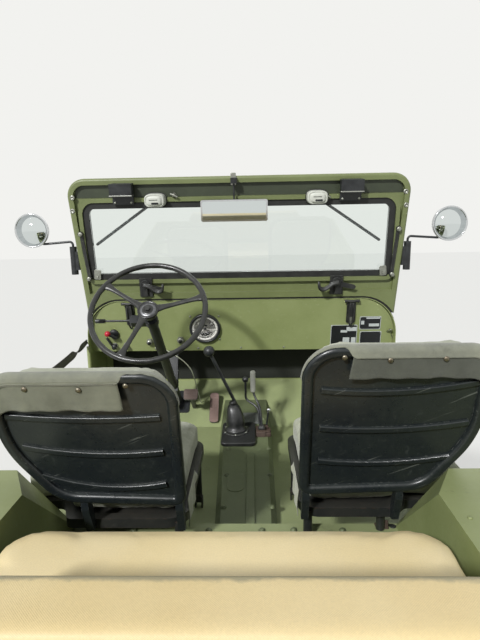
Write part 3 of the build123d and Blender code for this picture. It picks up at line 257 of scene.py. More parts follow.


# near-black felt-like material: painted shade for the firewall's shaded inner face
shade_felt_material, tree, shader, where = surface("bituminous_felt_board", "#1B1E18", 0.85)
fibre = place(tree, "ShaderNodeTexNoise", {"Vector": where, "Scale": 300.0, "Detail": 5.0, "Roughness": 0.7})
lint = place(tree, "ShaderNodeMapRange", {0: fibre.outputs[0], 1: 0.45, 2: 0.75, 4: 0.5})
dusted = place(tree, "ShaderNodeMix", {0: lint.outputs[0], 6: colour("#1B1E18"), 7: colour("#34372D")},
               data_type="RGBA")
tree.links.new(dusted.outputs[2], shader.inputs["Base Color"])
bump = place(tree, "ShaderNodeBump", {"Height": fibre.outputs[0], "Strength": 0.5, "Distance": 0.001})
tree.links.new(bump.outputs[0], shader.inputs["Normal"])
firewall_face, board_low, board_high, board_half = 1.0268, 0.232, 0.560, 0.665
board_outline = [(-board_half, board_low), (board_half, board_low), (board_half, board_high - 0.09),
                 (board_half - 0.06, board_high), (-board_half + 0.06, board_high),
                 (-board_half, board_high - 0.09)]
board_points = [Vector((x, y, z)) for y in (firewall_face - 0.004, firewall_face) for x, z in board_outline]
board_faces = [tuple(range(6)), tuple(range(6, 12))] + [(k, (k + 1) % 6, 6 + (k + 1) % 6, 6 + k)
                                                        for k in range(6)]
shade_felt_lining = mesh_piece("firewall_felt_board", board_points, board_faces, shade_felt_material, False)
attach(shade_felt_lining, "body")

# Fasteners of the tub
# Low domed rivets along the sides, the wheelhouses and the rear panel, and bolts on washers on the tunnel
# and the floors. All are painted over with the body, and stand 3 to 7 mm proud.


def made_plain(piece):
    """Turns a piece with its modifiers into a plain mesh."""
    plain = bpy.data.meshes.new_from_object(piece.evaluated_get(bpy.context.evaluated_depsgraph_get()))
    name = piece.name
    bpy.data.objects.remove(piece)
    return link_object(name, plain)


def turned(name, rows, axis_place, material, steps=40, smooth=True):
    """A turned piece from rows of (radius, height) along the Z of its placing matrix."""
    points, faces = [], []
    for radius, height in rows:
        for k in range(steps):
            a = 2 * math.pi * k / steps
            points.append(axis_place @ Vector((radius * math.cos(a), radius * math.sin(a), height)))
    for i in range(len(rows) - 1):
        for k in range(steps):
            n = (k + 1) % steps
            faces.append((i * steps + k, i * steps + n, (i + 1) * steps + n, (i + 1) * steps + k))
    if rows[0][0] > 0.00001:
        faces.append(tuple(range(steps))[::-1])
    if rows[-1][0] > 0.00001:
        faces.append(tuple((len(rows) - 1) * steps + k for k in range(steps)))
    return mesh_piece(name, points, faces, material, smooth)


def pointing(spot, direction):
    """Placing matrix at a spot with its Z along a direction."""
    return Matrix.Translation(spot) @ Vector(direction).to_track_quat("Z", "Y").to_matrix().to_4x4()


def fastened(name, spots, rows, material, body):
    """Like fasteners at spots, rows of (place, direction), from one turned head, by instances on points."""
    head = turned(name + "_head", rows, Matrix.Identity(4), material, 14)
    points = bpy.data.meshes.new(name)
    points.from_pydata([tuple(spot) for spot, direction in spots], [], [])
    facing = points.attributes.new("facing", "FLOAT_VECTOR", "POINT")
    facing.data.foreach_set("vector", [c for spot, direction in spots for c in direction])
    holder = link_object(name, points)
    tree = bpy.data.node_groups.new(name, "GeometryNodeTree")
    tree.interface.new_socket("Geometry", in_out="INPUT", socket_type="NodeSocketGeometry")
    tree.interface.new_socket("Head", in_out="INPUT", socket_type="NodeSocketObject")
    tree.interface.new_socket("Finish", in_out="INPUT", socket_type="NodeSocketMaterial")
    tree.interface.new_socket("Geometry", in_out="OUTPUT", socket_type="NodeSocketGeometry")
    given = place(tree, "NodeGroupInput")
    ways = place(tree, "GeometryNodeInputNamedAttribute", {"Name": "facing"}, data_type="FLOAT_VECTOR")
    aimed = place(tree, "FunctionNodeAlignRotationToVector", {"Vector": ways.outputs[0]}, axis="Z")
    spin = place(tree, "FunctionNodeRandomValue", {"Min": 0.0, "Max": 6.28, "Seed": 7}, data_type="FLOAT")
    spun = place(tree, "FunctionNodeAxisAngleToRotation", {"Axis": (0, 0, 1), "Angle": spin.outputs[1]})
    turn = place(tree, "FunctionNodeRotateRotation", {0: aimed.outputs[0], 1: spun.outputs[0]},
                 rotation_space="LOCAL")
    shape = place(tree, "GeometryNodeObjectInfo", {"Object": given.outputs["Head"]})
    copies = place(tree, "GeometryNodeInstanceOnPoints", {"Points": given.outputs["Geometry"],
                                                          "Instance": shape.outputs["Geometry"],
                                                          "Rotation": turn.outputs[0]})
    real = place(tree, "GeometryNodeRealizeInstances", {0: copies.outputs[0]})
    done = place(tree, "GeometryNodeSetMaterial", {"Geometry": real.outputs[0],
                                                   "Material": given.outputs["Finish"]})
    place(tree, "NodeGroupOutput", {0: done.outputs[0]})
    modifier = holder.modifiers.new("copies", "NODES")
    modifier.node_group = tree
    modifier[tree.interface.items_tree["Head"].identifier] = head
    modifier[tree.interface.items_tree["Finish"].identifier] = material
    piece = made_plain(holder)
    bpy.data.objects.remove(head)
    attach(piece, body)
    return piece


# head shapes, rows of (radius, height): a low domed rivet, and a bolt on its washer
rivet_rows = ((0.0055, 0.0), (0.0052, 0.0010), (0.0036, 0.0021), (0.0, 0.0026))
bolt_rows = ((0.0095, 0.0), (0.0095, 0.0016), (0.0064, 0.0018), (0.0064, 0.0058), (0.0054, 0.0066),
             (0.0, 0.0066))
# y of the riser between the floors, and the heights of the rear and front decks
riser_face, rear_deck, front_deck = -0.163, 0.200, 0.063
# the tunnel's step above the front deck, and its rise over its run forward of the riser
tunnel_step, tunnel_rise, tunnel_run = 0.042, 0.050, 1.190
tunnel_slope = math.atan(0.042)
spots = []
for side in (-1, 1):
    for k in range(13):
        spots.append(((side * 0.6995, 0.77 - 0.072 * k, 0.080), (side, 0, 0)))
    for k in range(12):
        spots.append(((side * 0.699, -0.20 - 0.07 * k, 0.520), (side, 0, 0)))
    for k in range(6):
        spots.append(((side * (0.455 + 0.02), -0.50 - 0.08 * k, 0.440), (0, 0, 1)))
for k in range(16):
    spots.append(((-0.62 + 0.0826 * k, -1.0295, 0.035), (0, -1, 0)))
spots = sorted(set(spots))
fastened("tub_rivets", spots, rivet_rows, olive_enamel, "body")


def tunnel_height(y):
    """Height of the tunnel's top along the car, in metres."""
    return front_deck + tunnel_step + tunnel_rise * (y - riser_face) / tunnel_run


spots = []
for x, y in ((-0.045, -0.12), (-0.045, 0.05), (-0.045, 0.24), (-0.047, 0.43), (0.112, -0.12), (0.112, 0.05),
             (0.112, 0.24), (0.112, 0.43), (-0.06, 0.70), (0.10, 0.70)):
    spots.append(((x, y, tunnel_height(y)), (0, 0, 1)))
for x, y in ((0.160, -0.193), (0.075, -0.195), (-0.068, -0.195), (-0.27, -0.195), (0.29, -0.195)):
    spots.append(((x, y, rear_deck), (0, 0, 1)))
for side in (-1, 1):
    for x, y in ((0.60, 0.02), (0.60, 0.30), (0.60, 0.56), (0.22, 0.62)):
        spots.append(((side * x, y, front_deck), (0, 0, 1)))
# the floor bolts take the footwell's painted shade
fastened("floor_bolts", spots, bolt_rows, footwell_shade_enamel, "body")

# Covers on the tunnel
# A pressed cover of thin sheet is screwed over the gearbox, with a raised joint strip down its middle
# and a small oval blanking patch beside it, all painted with the floor.


def rounded(rows, steps=6):
    """Closed outline from rows of (x, y, corner radius)."""
    outline = []
    for i, (x, y, r) in enumerate(rows):
        here = Vector((x, y))
        before = (Vector(rows[i - 1][:2]) - here).normalized()
        after = (Vector(rows[(i + 1) % len(rows)][:2]) - here).normalized()
        if r <= 0:
            outline.append(here)
            continue
        half_angle = before.angle(after) / 2
        middle = here + (before + after).normalized() * (r / math.sin(half_angle))
        start = here + before * (r / math.tan(half_angle)) - middle
        end = here + after * (r / math.tan(half_angle)) - middle
        sweep = start.angle_signed(end)
        for k in range(steps + 1):
            a = -sweep * k / steps
            outline.append(middle + Vector((start.x * math.cos(a) - start.y * math.sin(a),
                                            start.x * math.sin(a) + start.y * math.cos(a))))
    return outline


def oblong(cx, cy, width, height, r):
    """Outline of a rounded rectangle round its centre."""
    w, h = width / 2, height / 2
    return rounded(((cx - w, cy - h, r), (cx + w, cy - h, r), (cx + w, cy + h, r), (cx - w, cy + h, r)))


def plate(name, outline, low, high, lie, material, bevel=0.001, segments=2):
    """A flat piece from its outline, between two depths along its placing matrix's Z, edges broken."""
    count = len(outline)
    points = [lie @ Vector((p[0], p[1], low)) for p in outline] + [lie @ Vector((p[0], p[1], high))
                                                                   for p in outline]
    faces = [tuple(range(count)), tuple(range(count, 2 * count))]
    faces += [(k, (k + 1) % count, count + (k + 1) % count, count + k) for k in range(count)]
    piece = mesh_piece(name, points, faces, material)
    if bevel:
        shape = bmesh.new()
        shape.from_mesh(piece.data)
        rim = [e for e in shape.edges if len(e.link_faces) == 2 and e.calc_face_angle() > 0.9]
        bmesh.ops.bevel(shape, geom=rim, offset=bevel, segments=segments, affect="EDGES", profile=0.6)
        shape.to_mesh(piece.data)
        shape.free()
    for face in piece.data.polygons:
        face.use_smooth = face.area < 0.00002
    return piece


# the tunnel's strip and patch take the footwell's painted shade
along = Matrix.Translation((0.0, 0.12, tunnel_height(0.12))) @ Matrix.Rotation(tunnel_slope, 4, "X")
strip = plate("tunnel_joint_strip", oblong(0.042, 0.0, 0.030, 0.545, 0.012), 0.0003, 0.0085, along,
              footwell_shade_enamel, 0.004, 3)
patch = plate("tunnel_oval_patch", oblong(-0.010, 0.075, 0.060, 0.120, 0.029), 0.0003, 0.0022, along,
              footwell_shade_enamel, 0.0008)
for piece in (strip, patch):
    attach(piece, "body")

# Dash
# A flat pressed panel with rounded upper corners. It carries one instrument cluster, a row of knobs,
# a red-tipped lamp lever and three blank data plates, all fixed from the front.


def raked(origin, tilt):
    """Placing matrix of a leaning panel: X across, Y up the panel, Z towards the rear."""
    a = math.radians(tilt)
    return Matrix((
        (1, 0, 0, origin[0]),
        (0, -math.sin(a), -math.cos(a), origin[1]),
        (0, math.cos(a), -math.sin(a), origin[2]),
        (0, 0, 0, 1),
    ))


def moulded(name, base, worn, roughness, grain=0.8, relief=0.25):
    """Black rubber, plastic or stoved enamel: fine grain, grey dust on what faces up, scuffed patches."""
    made, tree, shader, where = surface(name, base, roughness)
    # scuffs and dust films some 30 mm across
    cloud = place(tree, "ShaderNodeTexNoise", {"Vector": where, "Scale": 24.0, "Detail": 8.0,
                                               "Roughness": 0.7})
    film = place(tree, "ShaderNodeMapRange", {0: cloud.outputs[0], 1: 0.44, 2: 0.72, 4: 0.26})
    facing = place(tree, "ShaderNodeNewGeometry")
    split = place(tree, "ShaderNodeSeparateXYZ", {0: facing.outputs["Normal"]})
    up = place(tree, "ShaderNodeMapRange", {0: split.outputs[2], 1: 0.1, 2: 1.0, 4: 0.18})
    both = place(tree, "ShaderNodeMath", {0: film.outputs[0], 1: up.outputs[0]}, operation="MAXIMUM")
    tinted = place(tree, "ShaderNodeMix", {0: both.outputs[0], 6: colour(base), 7: colour(worn)},
                   data_type="RGBA")
    tree.links.new(tinted.outputs[2], shader.inputs["Base Color"])
    gloss = place(tree, "ShaderNodeMapRange", {0: cloud.outputs[0], 1: 0.3, 2: 0.7, 3: roughness - 0.07,
                                               4: roughness + 0.14})
    tree.links.new(gloss.outputs[0], shader.inputs["Roughness"])
    # moulding grain, given in millimetres
    fine = place(tree, "ShaderNodeTexNoise", {"Vector": where, "Scale": 1000.0 / grain, "Detail": 2.0})
    bump = place(tree, "ShaderNodeBump", {"Height": fine.outputs[0], "Strength": relief, "Distance": 0.0006})
    tree.links.new(bump.outputs[0], shader.inputs["Normal"])
    return made


def plated(name, base, roughness, stain, share=0.3, spread=0.25):
    """Plated or bare metal with dull stained patches, which take the mirror shine off it."""
    made, tree, shader, where = surface(name, base, roughness, 1.0)
    cloud = place(tree, "ShaderNodeTexNoise", {"Vector": where, "Scale": 60.0, "Detail": 7.0,
                                               "Roughness": 0.75})
    dull = place(tree, "ShaderNodeMapRange", {0: cloud.outputs[0], 1: 0.42, 2: 0.66, 4: share})
    tinted = place(tree, "ShaderNodeMix", {0: dull.outputs[0], 6: colour(base), 7: colour(stain)},
                   data_type="RGBA")
    tree.links.new(tinted.outputs[2], shader.inputs["Base Color"])
    rough = place(tree, "ShaderNodeMapRange", {0: cloud.outputs[0], 1: 0.35, 2: 0.7, 3: roughness,
                                               4: roughness + spread})
    tree.links.new(rough.outputs[0], shader.inputs["Roughness"])
    return made


def printed(name, base, roughness=0.5):
    """Flat stoved ink or anodised face with faint handling marks."""
    made, tree, shader, where = surface(name, base, roughness)
    marks = place(tree, "ShaderNodeTexNoise", {"Vector": where, "Scale": 160.0, "Detail": 5.0,
                                               "Roughness": 0.7})
    shade = place(tree, "ShaderNodeMapRange", {0: marks.outputs[0], 1: 0.35, 2: 0.7, 3: 0.86, 4: 1.06})
    tinted = place(tree, "ShaderNodeHueSaturation", {"Color": colour(base), "Value": shade.outputs[0]})
    tree.links.new(tinted.outputs[0], shader.inputs["Base Color"])
    return made


# finishes that the eye sees there: glossy stoved black, mirror-bright chrome, dull zinc, a grey printed
# dial with white ink, matt black and silver anodised plates, and one red plastic knob
black_enamel = moulded("stoved_black_enamel", "#17191B", "#55595A", 0.34, 1.4, 0.2)
chrome = plated("chrome_plate", "#D6D8DA", 0.08, "#7E8284", 0.15, 0.07)
zinc = plated("zinc_plate", "#A5A79F", 0.34, "#6F6E62", 0.6)
dial_grey = printed("printed_grey_dial", "#75726D")
ink_white = printed("white_dial_ink", "#E4E2DA")
anodised_black = printed("anodised_black", "#15171A", 0.42)
anodised_silver = printed("anodised_silver", "#BFC4C2", 0.36)
red_tip = moulded("red_knob_plastic", "#B3122B", "#C96A70", 0.35)
clear_glass, tree, shader, where = surface("clear_glass", "#EEF4F1", 0.0)
# sheet glass that lets light through, so that what lies behind it isn't in shadow
shader.inputs["Transmission Weight"].default_value = 1.0
light_path = place(tree, "ShaderNodeLightPath")
open_air = place(tree, "ShaderNodeBsdfTransparent", {"Color": colour("#EAF1EE")})
passing = place(tree, "ShaderNodeMixShader", {0: light_path.outputs["Is Shadow Ray"], 1: shader.outputs[0],
                                              2: open_air.outputs[0]})
tree.links.new(passing.outputs[0], tree.nodes["Material Output"].inputs["Surface"])

on_dash = raked((0.0, 0.829, 0.433), 11.8)


def group(name, pieces, body):
    """Joins pieces into one that rides on a body."""
    with bpy.context.temp_override(active_object=pieces[0], selected_editable_objects=pieces):
        bpy.ops.object.join()
    joined = pieces[0]
    joined.name = name
    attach(joined, body)
    return joined


def lettered(words, size, lie, material):
    """A few printed figures as a thin mesh on a placing matrix."""
    curve = bpy.data.curves.new("figures", "FONT")
    curve.body = words
    curve.size = size
    curve.align_x = "CENTER"
    curve.align_y = "CENTER"
    holder = link_object("figures", curve)
    flat = bpy.data.meshes.new_from_object(holder)
    bpy.data.objects.remove(holder)
    flat.transform(lie)
    flat.materials.clear()
    flat.materials.append(material)
    return link_object("figures", flat)


# cluster: grey dial in a pale ring with its ticks and figures, three small gauges and a pointer
cluster_lie = on_dash @ Matrix.Translation((-0.163, 0.1144, 0.0072))
dial_r = 0.0605
dial = [turned("dial_face", ((dial_r, 0.0), (dial_r, 0.0006), (0.0, 0.0006)), cluster_lie, dial_grey, 64),
        turned("dial_ring", ((dial_r, 0.0006), (dial_r, 0.0009), (0.0500, 0.0009), (0.0500, 0.0006)),
               cluster_lie, ink_white, 64)]
for k in range(37):
    a = math.radians(-60 + 8.333 * k)
    length = 0.010 if k % 6 == 0 else 0.005
    lie = cluster_lie @ Matrix.Rotation(a, 4, "Z") @ Matrix.Translation((0.0590 - length / 2, 0, 0.0010))
    dial.append(plate("tick", oblong(0, 0, length, 0.0018 if k % 6 == 0 else 0.0011, 0.0002), 0, 0.0003,
                      lie, anodised_black, 0))
for k, words in enumerate(("0", "20", "40", "60", "80", "100", "120")):
    a = math.radians(240 - 50 * k)
    lie = cluster_lie @ Matrix.Translation((0.0400 * math.cos(a), 0.0400 * math.sin(a), 0.0008))
    dial.append(lettered(words, 0.0085, lie, ink_white))
for k in range(3):
    a = math.radians(242 + 28 * k)
    spot = Matrix.Translation((0.028 * math.cos(a), 0.028 * math.sin(a), 0.0010))
    rows = ((0.0075, 0.0), (0.0075, 0.0005), (0.0, 0.0005))
    dial.append(turned("gauge", rows, cluster_lie @ spot, anodised_black, 24))
    dial.append(plate("gauge_mark", oblong(0, 0, 0.010, 0.0014, 0.0004), 0.0006, 0.0009,
                      cluster_lie @ spot @ Matrix.Rotation(a + 0.9, 4, "Z"), ink_white, 0))
dial.append(plate("distance_window", oblong(0, 0.016, 0.022, 0.007, 0.001), 0.0008, 0.0011, cluster_lie,
                  anodised_black, 0))
lie = cluster_lie @ Matrix.Rotation(math.radians(222), 4, "Z") @ Matrix.Translation((0.018, 0, 0.0016))
dial.append(plate("pointer", rounded(((-0.022, -0.0016, 0), (0.026, -0.0005, 0), (0.026, 0.0005, 0),
                                      (-0.022, 0.0016, 0))), 0, 0.0006, lie, ink_white, 0))
dial.append(turned("pointer_hub", ((0.006, 0.0012), (0.006, 0.003), (0.0, 0.0034)), cluster_lie,
                   anodised_black, 20))
group("cluster_dial", dial, "body")
bezel_rows = ((0.0610, 0.0), (0.0610, 0.0062), (0.0655, 0.0078), (0.0700, 0.0062), (0.0716, 0.0020),
              (0.0716, -0.0070))
bezel = turned("cluster_bezel", bezel_rows, cluster_lie, black_enamel, 72)
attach(bezel, "body")
finish_node("instrument_cluster", black_enamel)

# screws of the cluster's retaining plate and of the dash's edge
spots = []
for u, v in ((-0.065, 0.058), (0.065, 0.058), (-0.065, -0.058), (0.065, -0.058)):
    spots.append((on_dash @ Vector((-0.163 + u, 0.1144 + v, 0.0)), on_dash.to_3x3() @ Vector((0, 0, 1))))
for k in range(7):
    spots.append((on_dash @ Vector((-0.60 + 0.2 * k, 0.012, 0.0)), on_dash.to_3x3() @ Vector((0, 0, 1))))
screw_rows = ((0.0050, 0.0), (0.0050, 0.0007), (0.0042, 0.0022), (0.0016, 0.0026), (0.0, 0.0018))
fastened("dash_screws", spots, screw_rows, zinc, "body")

# data plates: a bare black plate in a silver border with blank silver fields, riveted at its corners
# centre, size, blank fields as (x, y, width, height) from the plate's centre
plates = (((0.473, 0.070), (0.120, 0.103), ((0.034, 0.031, 0.046, 0.020), (0.000, 0.020, 0.030, 0.012),
                                            (0.012, -0.028, 0.030, 0.034), (0.045, -0.028, 0.020, 0.034))),
          ((0.589, 0.130), (0.096, 0.064), ((0.012, 0.024, 0.062, 0.007), (0.018, -0.010, 0.046, 0.014),
                                            (-0.034, 0.002, 0.014, 0.018))),
          ((0.595, 0.053), (0.097, 0.072), ()))
spots = []
dressed = []
for (u, v), (w, h), fields in plates:
    lie = on_dash @ Matrix.Translation((u, v, 0.0))
    dressed.append(plate("plate_border", oblong(0, 0, w, h, 0.004), 0.0003, 0.0012, lie, anodised_silver,
                         0.0003))
    dressed.append(plate("plate_face", oblong(0, 0, w - 0.005, h - 0.005, 0.003), 0.0012, 0.0014, lie,
                         anodised_black, 0))
    for x, y, fw, fh in fields:
        dressed.append(plate("plate_field", oblong(x, y, fw, fh, 0.001), 0.0014, 0.0016, lie,
                             anodised_silver, 0))
    for x in (-w / 2 + 0.005, w / 2 - 0.005):
        for y in (-h / 2 + 0.005, h / 2 - 0.005):
            spots.append((lie @ Vector((x, y, 0.0012)), lie.to_3x3() @ Vector((0, 0, 1))))
group("data_plates", dressed, "body")
fastened("data_plate_rivets", spots, ((0.0024, 0.0), (0.0021, 0.0009), (0.0, 0.0013)), zinc, "body")


def stretched(name, points, radius, material, sides=10, taper=None):
    """A round bar or tube along points, closed at its ends; taper gives a radius factor for each point."""
    curve = bpy.data.curves.new(name, "CURVE")
    curve.dimensions = "3D"
    curve.bevel_depth = radius
    curve.bevel_resolution = max(1, sides // 4)
    curve.use_fill_caps = True
    line = curve.splines.new("NURBS")
    line.points.add(len(points) - 1)
    for i, (point, spot) in enumerate(zip(line.points, points)):
        point.co = (*spot, 1.0)
        point.radius = taper[i] if taper else 1.0
    line.order_u = 3
    line.use_endpoint_u = True
    line.resolution_u = 8
    holder = link_object(name, curve)
    solid = bpy.data.meshes.new_from_object(holder)
    bpy.data.objects.remove(holder)
    solid.materials.clear()
    solid.materials.append(material)
    shape = bmesh.new()
    shape.from_mesh(solid)
    bmesh.ops.remove_doubles(shape, verts=shape.verts, dist=0.000005)
    bmesh.ops.recalc_face_normals(shape, faces=shape.faces)
    shape.to_mesh(solid)
    shape.free()
    for face in solid.polygons:
        face.use_smooth = True
    return link_object(name, solid)


def dash_spot(u, v, w):
    """Point at a place on the dash and a height off it."""
    return on_dash @ Vector((u, v, w))


def ball_rows(radius, steps):
    """Rows of (radius, height) of a ball round its centre."""
    return [(radius * math.sin(math.pi * k / steps), -radius * math.cos(math.pi * k / steps))
            for k in range(steps + 1)]


# lamp lever with its red ball, the pull rod beside it, and a wire hook and stay at the right-hand end
lever = [
    stretched("lamp_lever", (dash_spot(-0.571, 0.074, 0.002), dash_spot(-0.571, 0.074, 0.020),
                             dash_spot(-0.588, 0.090, 0.030), dash_spot(-0.604, 0.103, 0.033)), 0.0075,
              black_enamel),
    turned("red_ball", ball_rows(0.0135, 10), Matrix.Translation(dash_spot(-0.607, 0.105, 0.034)),
           red_tip, 24),
    stretched("pull_rod", (dash_spot(-0.622, 0.075, 0.010), dash_spot(-0.610, 0.050, 0.011),
                           dash_spot(-0.597, 0.026, 0.010)), 0.0048, black_enamel),
    stretched("wire_hook", (dash_spot(0.668, 0.086, 0.003), dash_spot(0.672, 0.098, 0.014),
                            dash_spot(0.683, 0.106, 0.018), dash_spot(0.688, 0.096, 0.014),
                            dash_spot(0.684, 0.086, 0.008)), 0.0026, zinc),
    stretched("wire_stay", (dash_spot(0.678, 0.100, 0.004), dash_spot(0.686, 0.080, 0.006),
                            dash_spot(0.697, 0.052, 0.004)), 0.0018, zinc),
]
group("lamp_lever", lever, "body")

# knobs and the key's ring, in place of the plain turned ones: u, v, radius, length, finish
knobs = (
    (-0.589, 0.030, 0.012, 0.024, black_enamel),
    (-0.536, 0.031, 0.012, 0.024, black_enamel),
    (-0.424, 0.048, 0.013, 0.018, zinc),
    (-0.279, 0.054, 0.015, 0.014, zinc),
)
turned_knobs = []
for k, (u, v, r, length, finish) in enumerate(knobs):
    rows = ((r * 1.05, 0.0003), (r * 1.05, 0.002), (r * 0.5, 0.0035), (r * 0.5, length * 0.45),
            (r * 0.9, length * 0.55), (r, length * 0.8), (r * 0.85, length), (0.0, length * 1.03))
    turned_knobs.append(turned("knob", rows, on_dash @ Matrix.Translation((u, v, 0)), finish, 28))
    turned_knobs.append(turned("knob_nut", ((r * 1.3, 0.0), (r * 1.3, 0.0022), (r * 1.1, 0.0028)),
                               on_dash @ Matrix.Translation((u, v, 0)), zinc, 6, False))
    if finish is zinc:
        face_rows = ((r * 0.62, length), (r * 0.62, length * 1.06), (0.0, length * 1.06))
        turned_knobs.append(turned("knob_face", face_rows, on_dash @ Matrix.Translation((u, v, 0)),
                                   black_enamel, 20))
switch_lie = on_dash @ Matrix.Translation((-0.586, 0.091, 0))
turned_knobs.append(turned("lamp_switch", ((0.022, 0.0003), (0.022, 0.008), (0.018, 0.012), (0.0, 0.013)),
                           switch_lie, black_enamel, 36))
dressed_knobs = group("dash_knobs", turned_knobs, "body")
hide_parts("dash_controls")

# Toggle clamps of the windscreen on the dash
# Blackened steel: a plate on the dash, a bent spring loop with a bright worn inside, and a cross bar
# that hooks over the foot of the windscreen frame.

# bare steel rubbed bright with stained pits, and blackened steel worn grey on its high places
bare_steel = plated("worn_bare_steel", "#B9BAB4", 0.30, "#5C5A52", 0.5)
dark_steel = moulded("blackened_steel", "#1D1E1E", "#6A6A64", 0.42, 1.0, 0.3)
clamp_pieces = []
for u in (-0.500, 0.498):
    lie = on_dash @ Matrix.Translation((u, 0.0, 0.0))
    clamp_pieces.append(plate("clamp_plate", oblong(0, 0.183, 0.040, 0.100, 0.008), 0.0003, 0.006, lie,
                              dark_steel, 0.0015))
    for side in (-1, 1):
        clamp_pieces.append(stretched("clamp_wire", [lie @ Vector(p)
                                                     for p in ((side * 0.006, 0.231, 0.012),
                                                               (side * 0.011, 0.205, 0.017),
                                                               (side * 0.010, 0.160, 0.018),
                                                               (side * 0.007, 0.130, 0.013),
                                                               (0.0, 0.118, 0.010))], 0.0032, dark_steel))
    clamp_pieces.append(plate("clamp_worn_face", oblong(0, 0.170, 0.012, 0.080, 0.005), 0.006, 0.0085, lie,
                              bare_steel, 0.001))
    clamp_pieces.append(plate("clamp_tongue", oblong(0, 0.200, 0.020, 0.070, 0.009), 0.009, 0.0135, lie,
                              dark_steel, 0.0015))
    clamp_pieces.append(stretched("clamp_bar", [lie @ Vector(p)
                                                for p in ((-0.032, 0.240, 0.010), (-0.020, 0.243, 0.012),
                                                          (0.0, 0.240, 0.014), (0.020, 0.243, 0.012),
                                                          (0.032, 0.240, 0.010))], 0.0062, dark_steel,
                                  taper=(1.25, 0.9, 1.1, 0.9, 1.25)))
dressed_clamps = group("toggle_clamps", clamp_pieces, "body")
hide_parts("screen_clamps")

# Windscreen
# The pressed frame carries a glass frame in black rubber, two wiper motors under moulded covers, washer
# nozzles, dark blocks on the rail, catches with curled levers and slotted arms that prop the glass open.

# matt black rubber, greyed by dust
black_rubber = moulded("black_rubber", "#161716", "#44463F", 0.55, 0.9, 0.35)
for name in ("windscreen_seal", "glass_frame"):
    finish_node(name, black_rubber)
finish_node("windscreen_glass", clear_glass)
finish_node("wipers", black_enamel)
finish_node("visor_blocks", black_enamel)
finish_node("rear_view_mirror", black_enamel)
finish_node("screen_catches", dark_steel)
# height of the screen's foot, its lean in degrees, and its frame's rear face from its middle plane
screen_foot, screen_lean, rear_face = 0.680, 7.8, 0.019
on_screen = raked((0.0, 0.790, screen_foot), screen_lean)


def up_screen(z):
    """Distance up the leaning screen from its foot to a height."""
    return (z - screen_foot) / math.cos(math.radians(screen_lean))


def oval(name, rx, ry, rows, lie, material, steps=56):
    """A moulded body from rows of (scale, height) over a squared ellipse."""
    points, faces = [], []
    for scale, height in rows:
        for k in range(steps):
            a = 2 * math.pi * k / steps
            x = math.copysign(abs(math.cos(a)) ** 0.62, math.cos(a))
            y = math.copysign(abs(math.sin(a)) ** 0.62, math.sin(a))
            points.append(lie @ Vector((rx * scale * x, ry * scale * y, height)))
    for i in range(len(rows) - 1):
        for k in range(steps):
            n = (k + 1) % steps
            faces.append((i * steps + k, i * steps + n, (i + 1) * steps + n, (i + 1) * steps + k))
    faces.append(tuple(range(steps))[::-1])
    faces.append(tuple((len(rows) - 1) * steps + k for k in range(steps)))
    return mesh_piece(name, points, faces, material)


# off-white moulded plastic, yellowed and handled
cover_white = moulded("aged_white_cover", "#C9CBC1", "#9A998C", 0.42, 1.2, 0.2)
motors = []
for u, v in ((-0.3416, 0.4417), (0.3275, 0.4424)):
    lie = on_screen @ Matrix.Translation((u, v, rear_face))
    rows = ((1.0, 0.0003), (1.02, 0.004), (1.0, 0.028), (1.0, 0.036), (0.97, 0.042), (0.90, 0.046),
            (0.84, 0.0462), (0.83, 0.0440), (0.78, 0.0440), (0.72, 0.0505), (0.55, 0.0530), (0.30, 0.0535))
    motors.append(oval("motor_cover", 0.042, 0.027, rows, lie, cover_white))
    # the slot's dark hollow is painted shade: a black plate on the cover
    motors.append(plate("motor_slot", oblong(0.004, -0.010, 0.030, 0.008, 0.0035), 0.0470, 0.0538, lie,
                        black_enamel, 0))
    motors.append(plate("motor_mark", oblong(-0.002, 0.004, 0.034, 0.0025, 0.001), 0.0500, 0.0540, lie,
                        black_rubber, 0))
    motors.append(oval("motor_pad", 0.046, 0.031, ((1.0, 0.0003), (1.0, 0.0028), (0.96, 0.0034)), lie,
                       black_rubber))
dressed_motors = group("wiper_motor_covers", motors, "windscreen")
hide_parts("wiper_motors")

# painted shade: a dark olive plate lines the top rail's hollow under its turned edge
hollow = rounded(((-0.6885, 0.4530, 0.002), (0.6885, 0.4530, 0.002), (0.6915, 0.5045, 0.044),
                  (-0.6915, 0.5045, 0.044)), 10)
rail_shade_plate = plate("top_rail_hollow", hollow, 0.0033, 0.0041, on_screen, rail_shade_enamel, 0)
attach(rail_shade_plate, "windscreen")

fittings = []
for u, v in ((-0.265, 0.460), (0.368, 0.448)):
    lie = on_screen @ Matrix.Translation((u, v, rear_face))
    fittings.append(turned("nozzle_foot", ((0.011, 0.0003), (0.011, 0.003), (0.007, 0.005), (0.007, 0.012),
                                           (0.004, 0.014)), lie, zinc, 20))
    fittings.append(stretched("nozzle_arm", [lie @ Vector(p)
                                             for p in ((-0.014, 0.007, 0.010), (0.0, 0.0, 0.012),
                                                       (0.016, -0.008, 0.010))], 0.0042, zinc))
for side in (-1, 1):
    # bright pivot brackets at the lower corners, with their bolts, and the eyelets up the pillars
    lie = (on_screen @ Matrix.Translation((side * 0.624, 0.126, rear_face))
           @ Matrix.Rotation(side * 0.12, 4, "Z"))
    fittings.append(plate("pivot_bracket", oblong(0, 0, 0.030, 0.044, 0.006), 0.0003, 0.004, lie, zinc,
                          0.001))
    fittings.append(turned("pivot_bolt", bolt_rows, lie @ Matrix.Translation((0, -0.010, 0.004)), zinc, 6,
                           False))
    for v in (0.457, 0.402):
        lie = on_screen @ Matrix.Translation((side * (0.700 if v < 0.43 else 0.694), v, rear_face - 0.001))
        fittings.append(turned("eyelet", ((0.0045, 0.0026), (0.0045, 0.0036), (0.0085, 0.0034),
                                          (0.0105, 0.0018), (0.0105, 0.0008)), lie, zinc, 24))
